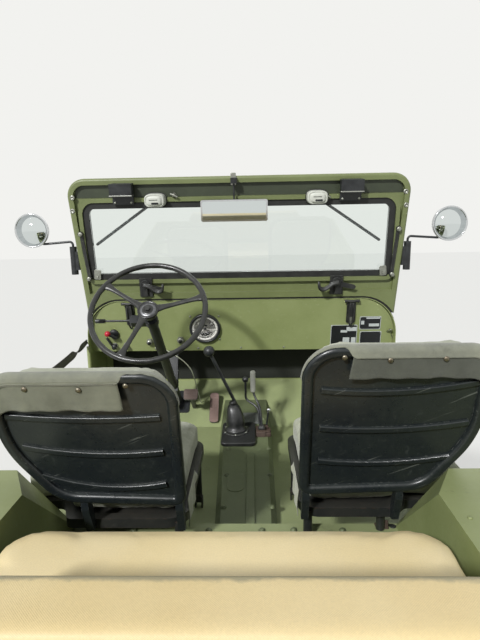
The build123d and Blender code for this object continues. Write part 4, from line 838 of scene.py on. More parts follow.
# the lip of the rubber strip, which closes the gap over the dash's arch and ends at the frame's feet; the
# first and last points of its outline, which run on below them, are left out
lip_path, unused_ends = [], 7
for gap, depth in ((0.0041, -0.0118), (0.0041, 0.0120), (0.0008, 0.0120), (0.0008, -0.0118)):
    arch = rounded(((-0.700 - gap, -0.069, 0), (-0.700 - gap, gap, 0.160 + gap),
                    (0.700 + gap, gap, 0.160 + gap), (0.700 + gap, -0.069, 0)), 24)
    lip_path.append([on_screen @ Vector((p.x, p.y, depth)) for p in arch[unused_ends:-unused_ends]])
count = len(lip_path[0])
faces = [(i * count + k, i * count + k + 1, ((i + 1) % 4) * count + k + 1, ((i + 1) % 4) * count + k)
         for i in range(4) for k in range(count - 1)]
faces += [(0, count, 2 * count, 3 * count), (count - 1, 2 * count - 1, 3 * count - 1, 4 * count - 1)]
lip = mesh_piece("screen_strip_lip", [p for line in lip_path for p in line], faces, black_rubber)
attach(lip, "windscreen")
# strap of the mirror's rod over the rail
lie = on_screen @ Matrix.Translation((-0.016, 0.520, rear_face))
fittings.append(plate("rod_strap", oblong(0, 0, 0.022, 0.050, 0.004), 0.0003, 0.003, lie, zinc, 0.0008))
group("windscreen_fittings", fittings, "windscreen")

# steel edge under each dark block
edges = []
for u in (-0.477, 0.466):
    lie = on_screen @ Matrix.Translation((u, up_screen(1.164) - 0.0245, rear_face + 0.0142))
    edges.append(plate("block_edge", oblong(0, 0, 0.094, 0.0045, 0.001), 0.0003, 0.0362, lie, bare_steel,
                       0.0006))
    for side in (-1, 1):
        edges.append(turned("block_screw", screw_rows,
                            lie @ Matrix.Translation((side * 0.034, -0.030, 0.0002)), zinc, 14))
group("block_edges", edges, "windscreen")

# knobs and curled levers of the glass frame's catches, and the slots of the arms
catches = []
lever_spots = ((-0.006, 0.004, 0.028), (0.020, 0.002, 0.030), (0.040, -0.018, 0.031),
               (0.064, -0.028, 0.034), (0.082, -0.014, 0.037), (0.080, 0.006, 0.036))
for u, toward in ((-0.414, 1), (0.425, -1)):
    lie = on_screen @ Matrix.Translation((u, 0.082, rear_face))
    for k in range(18):
        a = 2 * math.pi * k / 18
        knurl_lie = lie @ Matrix.Translation((0.0182 * math.cos(a), 0.0182 * math.sin(a), 0))
        catches.append(plate("knurl", oblong(0, 0, 0.0028, 0.0040, 0.0008), 0.010, 0.024,
                             knurl_lie @ Matrix.Rotation(a, 4, "Z"), dark_steel, 0))
    catches.append(turned("catch_nut", ((0.010, 0.0242), (0.010, 0.030), (0.004, 0.0315), (0.0, 0.0315)),
                          lie, dark_steel, 6, False))
    for rise in (0.0, 0.0035, 0.007):
        curl = [lie @ Vector((toward * x, y - rise * 0.8, w + rise)) for x, y, w in lever_spots]
        catches.append(stretched("catch_lever", curl, 0.0052, dark_steel,
                                 taper=(1.2, 1.3, 1.2, 1.2, 1.3, 1.0)))
    catches.append(plate("catch_hook", oblong(-toward * 0.006, -0.030, 0.030, 0.052, 0.006), 0.0062, 0.020,
                         lie, dark_steel, 0.003))
for side in (-1, 1):
    lie = (on_screen @ Matrix.Translation((side * 0.668, 0.208, rear_face))
           @ Matrix.Rotation(-side * math.radians(4), 4, "Z"))
    # the slot's dark gap is painted shade: a thin black strip on the frame
    catches.append(plate("arm_slot", oblong(0, 0, 0.0048, 0.150, 0.0023), 0.0051, 0.0056, lie, black_rubber,
                         0))
    for v in (-0.098, 0.098):
        catches.append(turned("arm_knob", ((0.010, 0.0122), (0.010, 0.016), (0.006, 0.018), (0.0, 0.018)),
                              lie @ Matrix.Translation((0, v, 0)), zinc, 16))
group("catch_details", catches, "windscreen")

# Mirrors
# Silvered glass in chromed rims: one flat oblong mirror on a thin rod inside, and one round mirror on a
# bent arm at each side.

# silvered glass, a clear mirror with the faintest haze
silvered_glass = plated("silvered_glass", "#DDE3E3", 0.012, "#C4CAC8", 0.03, 0.01)
mirror_lie = on_screen @ Matrix.Translation((-0.014, up_screen(1.073), rear_face + 0.040))
inside = [
    plate("mirror_glass", oblong(0, 0, 0.262, 0.074, 0.006), 0.0010, 0.0016, mirror_lie, silvered_glass, 0),
    plate("mirror_rim", oblong(0, 0, 0.276, 0.088, 0.008), 0.0002, 0.0010, mirror_lie, chrome, 0.0004),
]
group("inside_mirror_glass", inside, "windscreen")
for side, name in ((-1, "side_mirror_left"), (1, "side_mirror_right")):
    finish_node(name, black_enamel)
    lie = pointing((side * 0.896, 0.742, 0.998), (0, -1, 0))
    ring = ((0.0665, -0.0012), (0.0665, 0.0006), (0.0700, 0.0016), (0.0732, 0.0004), (0.0736, -0.0050),
            (0.0732, -0.0110))
    disc = ((0.0664, -0.0014), (0.0664, -0.0009), (0.0, -0.0009))
    pieces = [turned("rim", ring, lie, chrome, 72), turned("glass", disc, lie, silvered_glass, 72)]
    group("mirror_glass_" + ("left" if side < 0 else "right"), pieces, "windscreen")

# Steering
# A three-spoked wheel of hard black rubber moulded over a steel frame, on a column with its jacket. The
# spokes are round and slim, and flare into the rim and the hub.

# hard black rubber, polished by hands
wheel_rubber = moulded("hard_wheel_rubber", "#1E1F1E", "#5B5C57", 0.28, 1.6, 0.2)
for name in ("steering_column", "signal_switch"):
    finish_node(name, black_enamel)
finish_node("steering_shaft", dark_steel)
column = math.radians(43.95)
wheel_lie = Matrix((
    (1, 0, 0, -0.316),
    (0, math.sin(column), -math.cos(column), 0.330),
    (0, math.cos(column), math.sin(column), 0.713),
    (0, 0, 0, 1),
))
wheel_r, rim_r = 0.205, 0.0102


def lofted(name, sections, lie, material):
    """A closed body over like outlines, each a list of points in the placing matrix's frame."""
    count = len(sections[0])
    points = [lie @ Vector(p) for section in sections for p in section]
    faces = []
    for i in range(len(sections) - 1):
        for k in range(count):
            n = (k + 1) % count
            faces.append((i * count + k, i * count + n, (i + 1) * count + n, (i + 1) * count + k))
    faces.append(tuple(range(count))[::-1])
    faces.append(tuple((len(sections) - 1) * count + k for k in range(count)))
    return mesh_piece(name, points, faces, material)


rim_points, rim_faces = [], []
around, across = 120, 14
for i in range(around):
    a = 2 * math.pi * i / around
    for k in range(across):
        b = 2 * math.pi * k / across
        # finger waves on the inner rear side of the rim, 24 of them
        wave = 0.0006 * max(0.0, -math.cos(b)) * math.cos(24 * a)
        r = wheel_r + (rim_r + wave) * math.cos(b)
        rim_points.append(wheel_lie @ Vector((r * math.cos(a), r * math.sin(a),
                                              (rim_r + wave) * math.sin(b))))
        rim_faces.append((i * across + k, i * across + (k + 1) % across,
                          ((i + 1) % around) * across + (k + 1) % across, ((i + 1) % around) * across + k))
wheel = [mesh_piece("rim", rim_points, rim_faces, wheel_rubber)]
# distance from the centre, half-width, half-thickness and height of the spoke's middle
spoke_rows = ((0.020, 0.0180, 0.0066, -0.001), (0.034, 0.0165, 0.0064, -0.001),
              (0.055, 0.0120, 0.0060, -0.001), (0.085, 0.0092, 0.0058, -0.002),
              (0.120, 0.0086, 0.0056, -0.002), (0.155, 0.0092, 0.0056, -0.001),
              (0.178, 0.0118, 0.0060, 0.0), (0.192, 0.0165, 0.0068, 0.0), (0.204, 0.0225, 0.0072, 0.0))
for angle in (146.0, 16.0, 248.0):
    sections = []
    for r, width, thick, height in spoke_rows:
        ring = []
        for k in range(16):
            b = 2 * math.pi * k / 16
            ring.append((r, width * math.cos(b), height + thick * math.sin(b)))
        sections.append(ring)
    wheel.append(lofted("spoke", sections, wheel_lie @ Matrix.Rotation(math.radians(angle), 4, "Z"),
                        wheel_rubber))
hub_rows = ((0.026, -0.030), (0.028, -0.020), (0.029, -0.009), (0.036, -0.006), (0.0385, 0.001),
            (0.0375, 0.0060), (0.0330, 0.0074), (0.0315, 0.0056), (0.0215, 0.0052), (0.0200, 0.0066),
            (0.0140, 0.0068), (0.0, 0.0068))
# greyed steel at the hub, stained dark
worn_hub = plated("worn_hub_steel", "#77787A", 0.34, "#3A3B3C", 0.8)
wheel.append(turned("hub", hub_rows, wheel_lie, wheel_rubber, 56))
wheel.append(turned("hub_disc", ((0.0315, 0.0058), (0.0315, 0.0064), (0.0210, 0.0064)), wheel_lie, worn_hub,
                    48))
wheel.append(turned("hub_washer", ((0.0135, 0.0064), (0.0135, 0.0082), (0.0, 0.0082)), wheel_lie,
                    dark_steel, 32))
wheel.append(turned("hub_nut", ((0.0100, 0.0082), (0.0100, 0.0150), (0.0085, 0.0160), (0.0, 0.0160)),
                    wheel_lie, dark_steel, 6, False))
dressed_wheel = group("moulded_steering_wheel", wheel, "steering")
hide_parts("steering_wheel")

# Pedals
# Two cast pads with worn brown rubber on arms through the toe-board, and a long treadle for the throttle,
# rubbed pinkish by boots. Its ribs, like the pads', run across.

# brown rubber worn pale on its ribs
worn_pad_rubber = moulded("worn_brown_pad_rubber", "#4A3A33", "#9A8378", 0.6, 1.4, 0.5)
finish_node("pedals", dark_steel)
pads = []
for x in (-0.390, -0.235):
    lie = Matrix.Translation((x, 0.768, 0.236)) @ Matrix(((1, 0, 0, 0), (0, 0.6, -0.8, 0), (0, 0.8, 0.6, 0),
                                                          (0, 0, 0, 1)))
    pads.append(plate("pad_rubber", oblong(0, 0, 0.064, 0.050, 0.010), 0.0083, 0.0115, lie, worn_pad_rubber,
                      0.001))
    for k in range(6):
        pads.append(plate("pad_rib", oblong(0, -0.019 + 0.0076 * k, 0.054, 0.0036, 0.001), 0.0115, 0.0135,
                          lie, worn_pad_rubber, 0.0005))
# the treadle's face, smoother and pinker than the pads
worn_treadle = moulded("worn_pinkish_treadle", "#6B554D", "#9A8074", 0.5, 1.4, 0.4)
lie = Matrix.Translation((-0.136, 0.860, 0.1350)) @ Matrix(((1, 0, 0, 0), (0, 0.66, -0.75, 0),
                                                            (0, 0.75, 0.66, 0), (0, 0, 0, 1)))
pads.append(plate("treadle_face", oblong(0, 0, 0.042, 0.148, 0.013), 0.0073, 0.0092, lie, worn_treadle,
                  0.0008))
for k in range(9):
    pads.append(plate("treadle_rib", oblong(0, -0.056 + 0.014 * k, 0.032, 0.004, 0.0015), 0.0092, 0.0104,
                      lie, worn_treadle, 0.0004))
group("pedal_rubbers", pads, "body")

# Cable at the column
# A pale plastic-covered cable runs from the dash's lower edge, past the steering column, down towards the
# pedals. It hangs in a slack curve, and its lower end is taken to be on the toe-board.


def smooth_path(spots, steps):
    """Points on a smooth line through spots (Catmull-Rom), with that many steps from each to the next."""
    ends = [spots[0] * 2 - spots[1]] + list(spots) + [spots[-1] * 2 - spots[-2]]
    line = []
    for before, a, b, after in zip(ends, ends[1:], ends[2:], ends[3:]):
        for k in range(steps):
            t = k / steps
            line.append(0.5 * (2 * a + (b - before) * t + (2 * before - 5 * a + 4 * b - after) * t ** 2
                               + (3 * a - before - 3 * b + after) * t ** 3))
    return line + [spots[-1]]


# pale grey-green plastic, grimy where it is handled
cable_cover = moulded("pale_cable_cover", "#A9AD98", "#7C7B6A", 0.5, 1.2, 0.2)
cable_run = ((-0.349, 0.826, 0.436), (-0.320, 0.806, 0.424), (-0.273, 0.793, 0.397), (-0.236, 0.798, 0.352),
             (-0.221, 0.822, 0.290), (-0.211, 0.864, 0.210), (-0.205, 0.912, 0.142))
cable_path = smooth_path([Vector(spot) for spot in cable_run], 8)
cable = stretched("column_cable", cable_path, 0.0023, cable_cover, 10)
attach(cable, "body")

# Gear lever and its boot
# A moulded black rubber boot, shiny with age, is clamped by a ring of screws to a black base on the tunnel
# and narrows up to the bent steel lever. The base's form, and the cast cover ahead of it, are guesses
# from dark outlines.

# black rubber with a shine, and bare cast metal, grey and grainy
gloss_rubber = moulded("aged_gloss_rubber", "#191A1B", "#565755", 0.33, 1.4, 0.25)
grey_casting = moulded("bare_grey_casting", "#5C5F5D", "#85877F", 0.50, 1.6, 0.5)
finish_node("gear_lever", black_enamel)
tunnel_top = tunnel_height(0.580)
on_tunnel = Matrix.Translation((-0.020, 0.580, tunnel_top)) @ Matrix.Rotation(tunnel_slope, 4, "X")
base_top = 0.016
boot_base = plate("boot_base", oblong(0.0115, -0.035, 0.142, 0.195, 0.020), -0.0005, base_top, on_tunnel,
                  gloss_rubber, 0.005, 3)
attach(boot_base, "body")
cast_cover = plate("tunnel_cast_cover", oblong(0.030, 0.125, 0.158, 0.104, 0.012), -0.0005, 0.0080,
                   on_tunnel, grey_casting, 0.002)
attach(cast_cover, "body")
boot_rows = ((0.0450, base_top - 0.002), (0.0450, 0.024), (0.0410, 0.028), (0.0375, 0.034), (0.0385, 0.046),
             (0.0390, 0.056), (0.0380, 0.068), (0.0360, 0.080), (0.0335, 0.094), (0.0300, 0.106),
             (0.0255, 0.117), (0.0190, 0.1235), (0.0130, 0.1260))
boot_place, boot_mouth = Vector((-0.020, 0.560, tunnel_top)), Vector((-0.030, 0.578, tunnel_top + 0.128))
boot = turned("lever_boot", boot_rows, Matrix.Translation(boot_place), gloss_rubber, 72)
for corner in boot.data.vertices:
    # the cone leans after its lever and is a little uneven round its folds
    up = min(1.0, max(0.0, (corner.co.z - tunnel_top) / 0.128))
    around = math.atan2(corner.co.y - boot_place.y, corner.co.x - boot_place.x)
    corner.co.x += (boot_mouth.x - boot_place.x) * up * up + 0.0012 * math.sin(3 * around + 5 * up) * up
    corner.co.y += (boot_mouth.y - boot_place.y) * up + 0.0012 * math.cos(4 * around) * up
lever_way = (Vector((-0.124, 0.555, 0.500)) - boot_mouth).normalized()
collar_lie = pointing(boot_mouth + lever_way * 0.002, lever_way)
collar = turned("boot_collar", ((0.0150, -0.008), (0.0150, 0.006), (0.0125, 0.010), (0.0085, 0.011)),
                collar_lie, gloss_rubber, 36)
dressed_boot = group("lever_boot", [boot, collar], "body")
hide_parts("gear_boot")
ring_lie = on_tunnel @ Matrix.Translation((0, -0.020, base_top))
ring = turned("boot_clamp_ring", ((0.0450, 0.0), (0.0540, 0.0), (0.0545, 0.0025), (0.0530, 0.0040),
                                  (0.0460, 0.0044), (0.0450, 0.0038)), ring_lie, dark_steel, 64)
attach(ring, "body")
spots = []
for k in range(6):
    a = math.radians(30 + 60 * k)
    spots.append((ring_lie @ Vector((0.0498 * math.cos(a), 0.0498 * math.sin(a), 0.0040)), (0, 0, 1)))
for x, y in ((-0.040, 0.082), (0.100, 0.082), (-0.040, 0.168), (0.100, 0.168)):
    spots.append((on_tunnel @ Vector((x, y, 0.0078)), (0, 0, 1)))
fastened("boot_screws", spots, screw_rows, zinc, "body")

# Transfer levers
# Two steel levers in a cast quadrant to the right of the boot, one with a long pale moulded grip and one
# with a dark ball, and a short third lever. The forms of the rusty quadrant and linkage are guesses.

# brown rust over dark steel, and pale grey moulded plastic
rusty_steel = moulded("rusty_steel", "#3B2E27", "#75604F", 0.7, 1.8, 0.6)
pale_grip = moulded("pale_moulded_grip", "#A9AAA0", "#77766C", 0.45, 1.2, 0.3)
quadrant_top = tunnel_top + 0.020
levers = [plate("quadrant", rounded(((0.528, tunnel_top - 0.0005 - 0.0015, 0),
                                     (0.602, tunnel_top + 0.0015, 0), (0.598, quadrant_top, 0.006),
                                     (0.532, quadrant_top, 0.006))), 0.065, 0.105,
                Matrix(((0, 0, 1, 0), (1, 0, 0, 0), (0, 1, 0, 0), (0, 0, 0, 1))), rusty_steel, 0.0025, 3)]
for x_top, z_top, x_low in ((0.054, 0.380, 0.092), (0.022, 0.350, 0.084)):
    levers.append(stretched("lever_rod", ((x_low, 0.560, tunnel_top + 0.014),
                                          (x_low - 0.004, 0.570, tunnel_top + 0.060),
                                          (x_low - 0.010, 0.590, tunnel_top + 0.110),
                                          (x_top, 0.619, z_top - 0.085), (x_top, 0.621, z_top - 0.050),
                                          (x_top, 0.622, z_top)), 0.0050, black_enamel))
    levers.append(turned("lever_foot", ((0.011, 0.0), (0.012, 0.006), (0.009, 0.014), (0.0055, 0.018)),
                         Matrix.Translation((x_low, 0.560, quadrant_top - 0.001)), dark_steel, 28))
grip_rows = [(0.0085, 0.0), (0.0110, 0.004)]
for k in range(7):
    grip_rows += [(0.0120, 0.008 + 0.0115 * k), (0.0108, 0.0125 + 0.0115 * k)]
grip_rows += [(0.0118, 0.089), (0.0085, 0.0945), (0.0, 0.0955)]
levers.append(turned("long_grip", grip_rows, Matrix.Translation((0.054, 0.621, 0.2995)), pale_grip, 32))
levers.append(turned("dark_ball", ball_rows(0.0135, 12), Matrix.Translation((0.022, 0.622, 0.356)),
                     black_enamel, 28))
# a short third lever with a bright ball stands at the tunnel's edge, on its linkage casting
short_foot, short_top = Vector((0.108, 0.588, tunnel_top - 0.004)), Vector((0.119, 0.596, tunnel_top + 0.084))
short_middle = short_foot.lerp(short_top, 0.5) + Vector((-0.002, 0, 0))
levers.append(stretched("short_lever", (short_foot, short_middle, short_top), 0.0042, black_enamel))
levers.append(turned("bright_ball", ball_rows(0.0098, 10),
                     Matrix.Translation(short_top + Vector((0, 0, 0.007))), chrome, 24))
for x, y, wide, deep, high in ((0.108, 0.565, 0.040, 0.066, 0.012), (0.106, 0.588, 0.024, 0.026, 0.026),
                               (0.110, 0.543, 0.030, 0.014, 0.019)):
    levers.append(plate("linkage_casting", oblong(0, 0, wide, deep, 0.005), -0.003, high,
                        Matrix.Translation((x, y, tunnel_top)), rusty_steel, 0.003, 3))
dressed_levers = group("transfer_lever_set", levers, "body")
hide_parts("transfer_levers")

# Seat frames
# Bent steel tube with pressed pans and ribbed back shells, sprayed gloss black, scratched by kit and
# rusting at the feet.

# glossy blue-black on the backs, and browner, chipped black on the tubes
shell_black = enamel("gloss_black_shell_enamel", "#1A1F22", "#232827", "#4A4F4B", "#8F918A", 0.30, "#101213")
tube_black = enamel("chipped_black_tube_enamel", "#1C1F1F", "#2A2A27", "#4E4A42", "#7A5A45", 0.36, "#4A3226")
# kit has drawn thin pale scratches slantwise across the pressed backs
tree = shell_black.node_tree
shader = next(node for node in tree.nodes if node.type == "BSDF_PRINCIPLED")
coat = shader.inputs["Base Color"].links[0].from_socket
where = place(tree, "ShaderNodeTexCoord").outputs["Object"]
slant = place(tree, "ShaderNodeVectorRotate", {"Vector": where, "Axis": (0.0, 1.0, 0.2),
                                               "Angle": math.radians(24)})
drawn_out = place(tree, "ShaderNodeVectorMath", {0: slant.outputs[0], 1: (7.0, 240.0, 240.0)},
                  operation="MULTIPLY")
streak = place(tree, "ShaderNodeTexNoise", {"Vector": drawn_out.outputs[0], "Scale": 1.0, "Detail": 2.0})
scratch = place(tree, "ShaderNodeMapRange", {0: streak.outputs[0], 1: 0.69, 2: 0.74, 4: 0.45})
scratched = place(tree, "ShaderNodeMix", {0: scratch.outputs[0], 7: colour("#7C8079")}, data_type="RGBA")
tree.links.new(coat, scratched.inputs[6])
tree.links.new(scratched.outputs[2], shader.inputs["Base Color"])
for name in ("driver_seat_back", "passenger_seat_back"):
    finish_node(name, shell_black)
for name in ("driver_seat_base", "passenger_seat_base", "seat_pivots"):
    finish_node(name, tube_black)

# Seat cushions and back pads
# Rubberised hair in a loose cover of grey-green cotton duck. The covers are faded, stained and slack at
# their sewn edges, and the pads swell between them.


def woven(name, base, faded, stain, spacing, roughness, depth, sheen=0.25):
    """Woven cloth: threads over and under each other, slubs, faded patches and dark stains."""
    made, tree, shader, where = surface(name, base, roughness)
    shader.inputs["Sheen Weight"].default_value = sheen
    shader.inputs["Sheen Roughness"].default_value = 0.6
    # the threads wander by a fraction of a millimetre
    wander = place(tree, "ShaderNodeTexNoise", {"Vector": where, "Scale": 55.0, "Detail": 2.0})
    push = place(tree, "ShaderNodeVectorMath", {0: wander.outputs[1], "Scale": 0.004}, operation="SCALE")
    moved = place(tree, "ShaderNodeVectorMath", {0: where, 1: push.outputs[0]}, operation="ADD")
    split = place(tree, "ShaderNodeSeparateXYZ", {0: moved.outputs[0]})
    rise = place(tree, "ShaderNodeMath", {0: split.outputs[1], 1: split.outputs[2]}, operation="ADD")
    turns = 2 * math.pi / spacing
    warp_angle = place(tree, "ShaderNodeMath", {0: split.outputs[0], 1: turns}, operation="MULTIPLY")
    weft_angle = place(tree, "ShaderNodeMath", {0: rise.outputs[0], 1: turns}, operation="MULTIPLY")
    warp = place(tree, "ShaderNodeMath", {0: warp_angle.outputs[0]}, operation="SINE")
    weft = place(tree, "ShaderNodeMath", {0: weft_angle.outputs[0]}, operation="SINE")
    over = place(tree, "ShaderNodeMath", {0: warp.outputs[0], 1: weft.outputs[0]}, operation="MULTIPLY")
    slub = place(tree, "ShaderNodeTexNoise", {"Vector": where, "Scale": 480.0, "Detail": 4.0,
                                              "Roughness": 0.7})
    weave = place(tree, "ShaderNodeMath", {0: over.outputs[0], 1: 0.5, 2: slub.outputs[0]},
                  operation="MULTIPLY_ADD")
    # faded areas a hand wide, and stains with soft borders
    cloud = place(tree, "ShaderNodeTexNoise", {"Vector": where, "Scale": 9.0, "Detail": 6.0,
                                               "Roughness": 0.65})
    fade = place(tree, "ShaderNodeMapRange", {0: cloud.outputs[0], 1: 0.40, 2: 0.64})
    body = place(tree, "ShaderNodeMix", {0: fade.outputs[0], 6: colour(base), 7: colour(faded)},
                 data_type="RGBA")
    blot = place(tree, "ShaderNodeTexNoise", {"Vector": where, "Scale": 17.0, "Detail": 7.0,
                                              "Roughness": 0.75, "Distortion": 0.6})
    soiled = place(tree, "ShaderNodeMapRange", {0: blot.outputs[0], 1: 0.56, 2: 0.76, 4: 0.6})
    stained = place(tree, "ShaderNodeMix", {0: soiled.outputs[0], 6: body.outputs[2], 7: colour(stain)},
                    data_type="RGBA")
    shade = place(tree, "ShaderNodeMapRange", {0: weave.outputs[0], 1: -0.1, 2: 1.1, 3: 0.80, 4: 1.10})
    tinted = place(tree, "ShaderNodeHueSaturation", {"Color": stained.outputs[2], "Value": shade.outputs[0]})
    tree.links.new(tinted.outputs[0], shader.inputs["Base Color"])
    bump = place(tree, "ShaderNodeBump", {"Height": weave.outputs[0], "Strength": 0.6, "Distance": depth})
    tree.links.new(bump.outputs[0], shader.inputs["Normal"])
    return made


# duck is woven about 14 threads to the centimetre; its threads are drawn 2.4 mm apart so that they show
cotton_duck = woven("faded_cotton_duck", "#9A9D87", "#B0B29D", "#6C6E5B", 0.0024, 0.88, 0.0007)


def stuffed(name, outline, low, high, lie, material, voxel, cap, press=4.0):
    """A padded piece: its plain form is meshed evenly, swollen by cloth pressure, capped and smoothed."""
    piece = plate(name, outline, low, high, lie, material, 0)
    even = piece.modifiers.new("even", "REMESH")
    even.mode = "VOXEL"
    even.voxel_size = voxel
    piece = made_plain(piece)
    softened = piece.modifiers.new("softened", "SMOOTH")
    softened.factor = 0.5
    softened.iterations = 6
    piece = made_plain(piece)
    start = [corner.co.copy() for corner in piece.data.vertices]
    cloth = piece.modifiers.new("filling", "CLOTH")
    cloth.settings.use_pressure = True
    cloth.settings.uniform_pressure_force = press
    cloth.settings.quality = 5
    cloth.settings.mass = 0.3
    cloth.settings.effector_weights.gravity = 0.0
    cloth.point_cache.frame_start = 1
    cloth.point_cache.frame_end = 20
    for step in range(1, 21):
        bpy.context.scene.frame_set(step)
    piece = made_plain(piece)
    for corner, before in zip(piece.data.vertices, start):
        move = corner.co - before
        if move.length > cap:
            corner.co = before + move.normalized() * cap
    bpy.context.scene.frame_set(1)
    finer = piece.modifiers.new("finer", "SUBSURF")
    finer.levels = 1
    finer.render_levels = 1
    piece = made_plain(piece)
    piece.data.materials.clear()
    piece.data.materials.append(material)
    for face in piece.data.polygons:
        face.use_smooth = True
    return piece


def seat_plan(cx, rear, front, outer, inset, corner):
    """Seat cushion seen from above, with its outer rear corner cut away to pass the wheelhouse."""
    half, notch_x, notch_y = 0.230, 0.414, -0.198
    inner_x, outer_x = cx - outer * (half - inset), cx + outer * (half - inset)
    return rounded((
        (inner_x, rear + inset, corner),
        (outer * (notch_x - inset), rear + inset, 0.018),
        (outer * (notch_x + 0.036 - inset), notch_y + inset, 0.018),
        (outer_x, notch_y + inset, corner * 0.6),
        (outer_x, front - inset, corner),
        (inner_x, front - inset, corner),
    ))


def back_shape(outer, height, inset=0.0, steps=8):
    """Outline of a seat's back on its leaning plane, cut away at the door's side below."""
    return rounded((
        (-outer * (0.235 - inset), 0.008 + inset, 0.030),
        (outer * (0.072 - inset * 0.6), 0.020 + inset, 0.100),
        (outer * (0.178 - inset), 0.180 + inset * 0.4, 0.230 - inset),
        (outer * (0.178 - inset), height - inset, 0.055),
        (-outer * (0.235 - inset), height - inset, 0.080),
    ), steps)


def on_back(cx, shift):
    """Placing matrix of a seat's leaning back: X across, Y up the back, Z towards the rear."""
    return raked((cx, -0.262 + shift, 0.345), 12.2)


# prefix, middle, shift, side of the door, height of the back, body, flap's inner end, its drop and the
# band's end
seats = (
    ("driver", -0.340, -0.045, -1, 0.368, "body", 0.111, 0.083, 0.258),
    ("passenger", 0.400, 0.0, 1, 0.412, "passenger_seat", 0.128, 0.070, 0.322),
)
for prefix, cx, shift, outer, height, body, flap_start, flap_drop, band_end in seats:
    plan = seat_plan(cx, -0.215 + shift, 0.217 + shift, outer, 0.005, 0.040)
    cushion = stuffed(prefix + "_cushion", plan, 0.2955, 0.362, Matrix.Identity(4), cotton_duck, 0.007, 0.016)
    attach(cushion, body)
    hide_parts(prefix + "_seat_cushion")
    back_lie = on_back(cx, shift)
    pad_shape = [p for p in back_shape(outer, height, 0.012) if p.y > 0.048]
    low_points = [Vector((pad_shape[0].x, 0.048)), Vector((pad_shape[-1].x, 0.048))]
    pad = stuffed(prefix + "_pad", [low_points[0]] + pad_shape + [low_points[1]], -0.073, -0.0175, back_lie,
                  cotton_duck, 0.007, 0.012)
    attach(pad, body)
    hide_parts(prefix + "_back_pad")

# Canvas hoods of the seats
# A sleeve of the same duck is pulled over each back's top roll, with a sewn band along the roll and a
# hemmed flap behind, held by studs. It is slack, so the hem waves.


def cloth_shell(name, grid, thick, material):
    """A sheet from rows of points, given its thickness towards its back and closed round its edges."""
    rows, columns = len(grid), len(grid[0])
    points = [Vector(p) for row in grid for p in row]
    normals = []
    for i in range(rows):
        for j in range(columns):
            across = grid[min(i + 1, rows - 1)][j] - grid[max(i - 1, 0)][j]
            down = grid[i][min(j + 1, columns - 1)] - grid[i][max(j - 1, 0)]
            normals.append(across.cross(down).normalized())
    back = [p - n * thick for p, n in zip(points, normals)]
    count = rows * columns
    faces = []
    for i in range(rows - 1):
        for j in range(columns - 1):
            a, b = i * columns + j, i * columns + j + 1
            c, d = (i + 1) * columns + j + 1, (i + 1) * columns + j
            faces.append((a, b, c, d))
            faces.append((count + d, count + c, count + b, count + a))
    rim = [(0, j) for j in range(columns)] + [(i, columns - 1) for i in range(1, rows)]
    rim += [(rows - 1, j) for j in range(columns - 2, -1, -1)] + [(i, 0) for i in range(rows - 2, 0, -1)]
    for k, (i, j) in enumerate(rim):
        m, n = rim[(k + 1) % len(rim)]
        faces.append((i * columns + j, m * columns + n, count + m * columns + n, count + i * columns + j))
    return mesh_piece(name, points + back, faces, material)


def grid_size(grid):
    """Length and width of a sheet along its middle lines, and its area, in metres."""
    length = sum((grid[i + 1][len(grid[0]) // 2] - grid[i][len(grid[0]) // 2]).length
                 for i in range(len(grid) - 1))
    width = max(sum((row[j + 1] - row[j]).length for j in range(len(row) - 1)) for row in grid)
    area = 0.0
    for i in range(len(grid) - 1):
        for j in range(len(grid[0]) - 1):
            a, b, c, d = grid[i][j], grid[i][j + 1], grid[i + 1][j + 1], grid[i + 1][j]
            area += ((b - a).cross(c - a)).length / 2 + ((c - a).cross(d - a)).length / 2
    return length, width, area


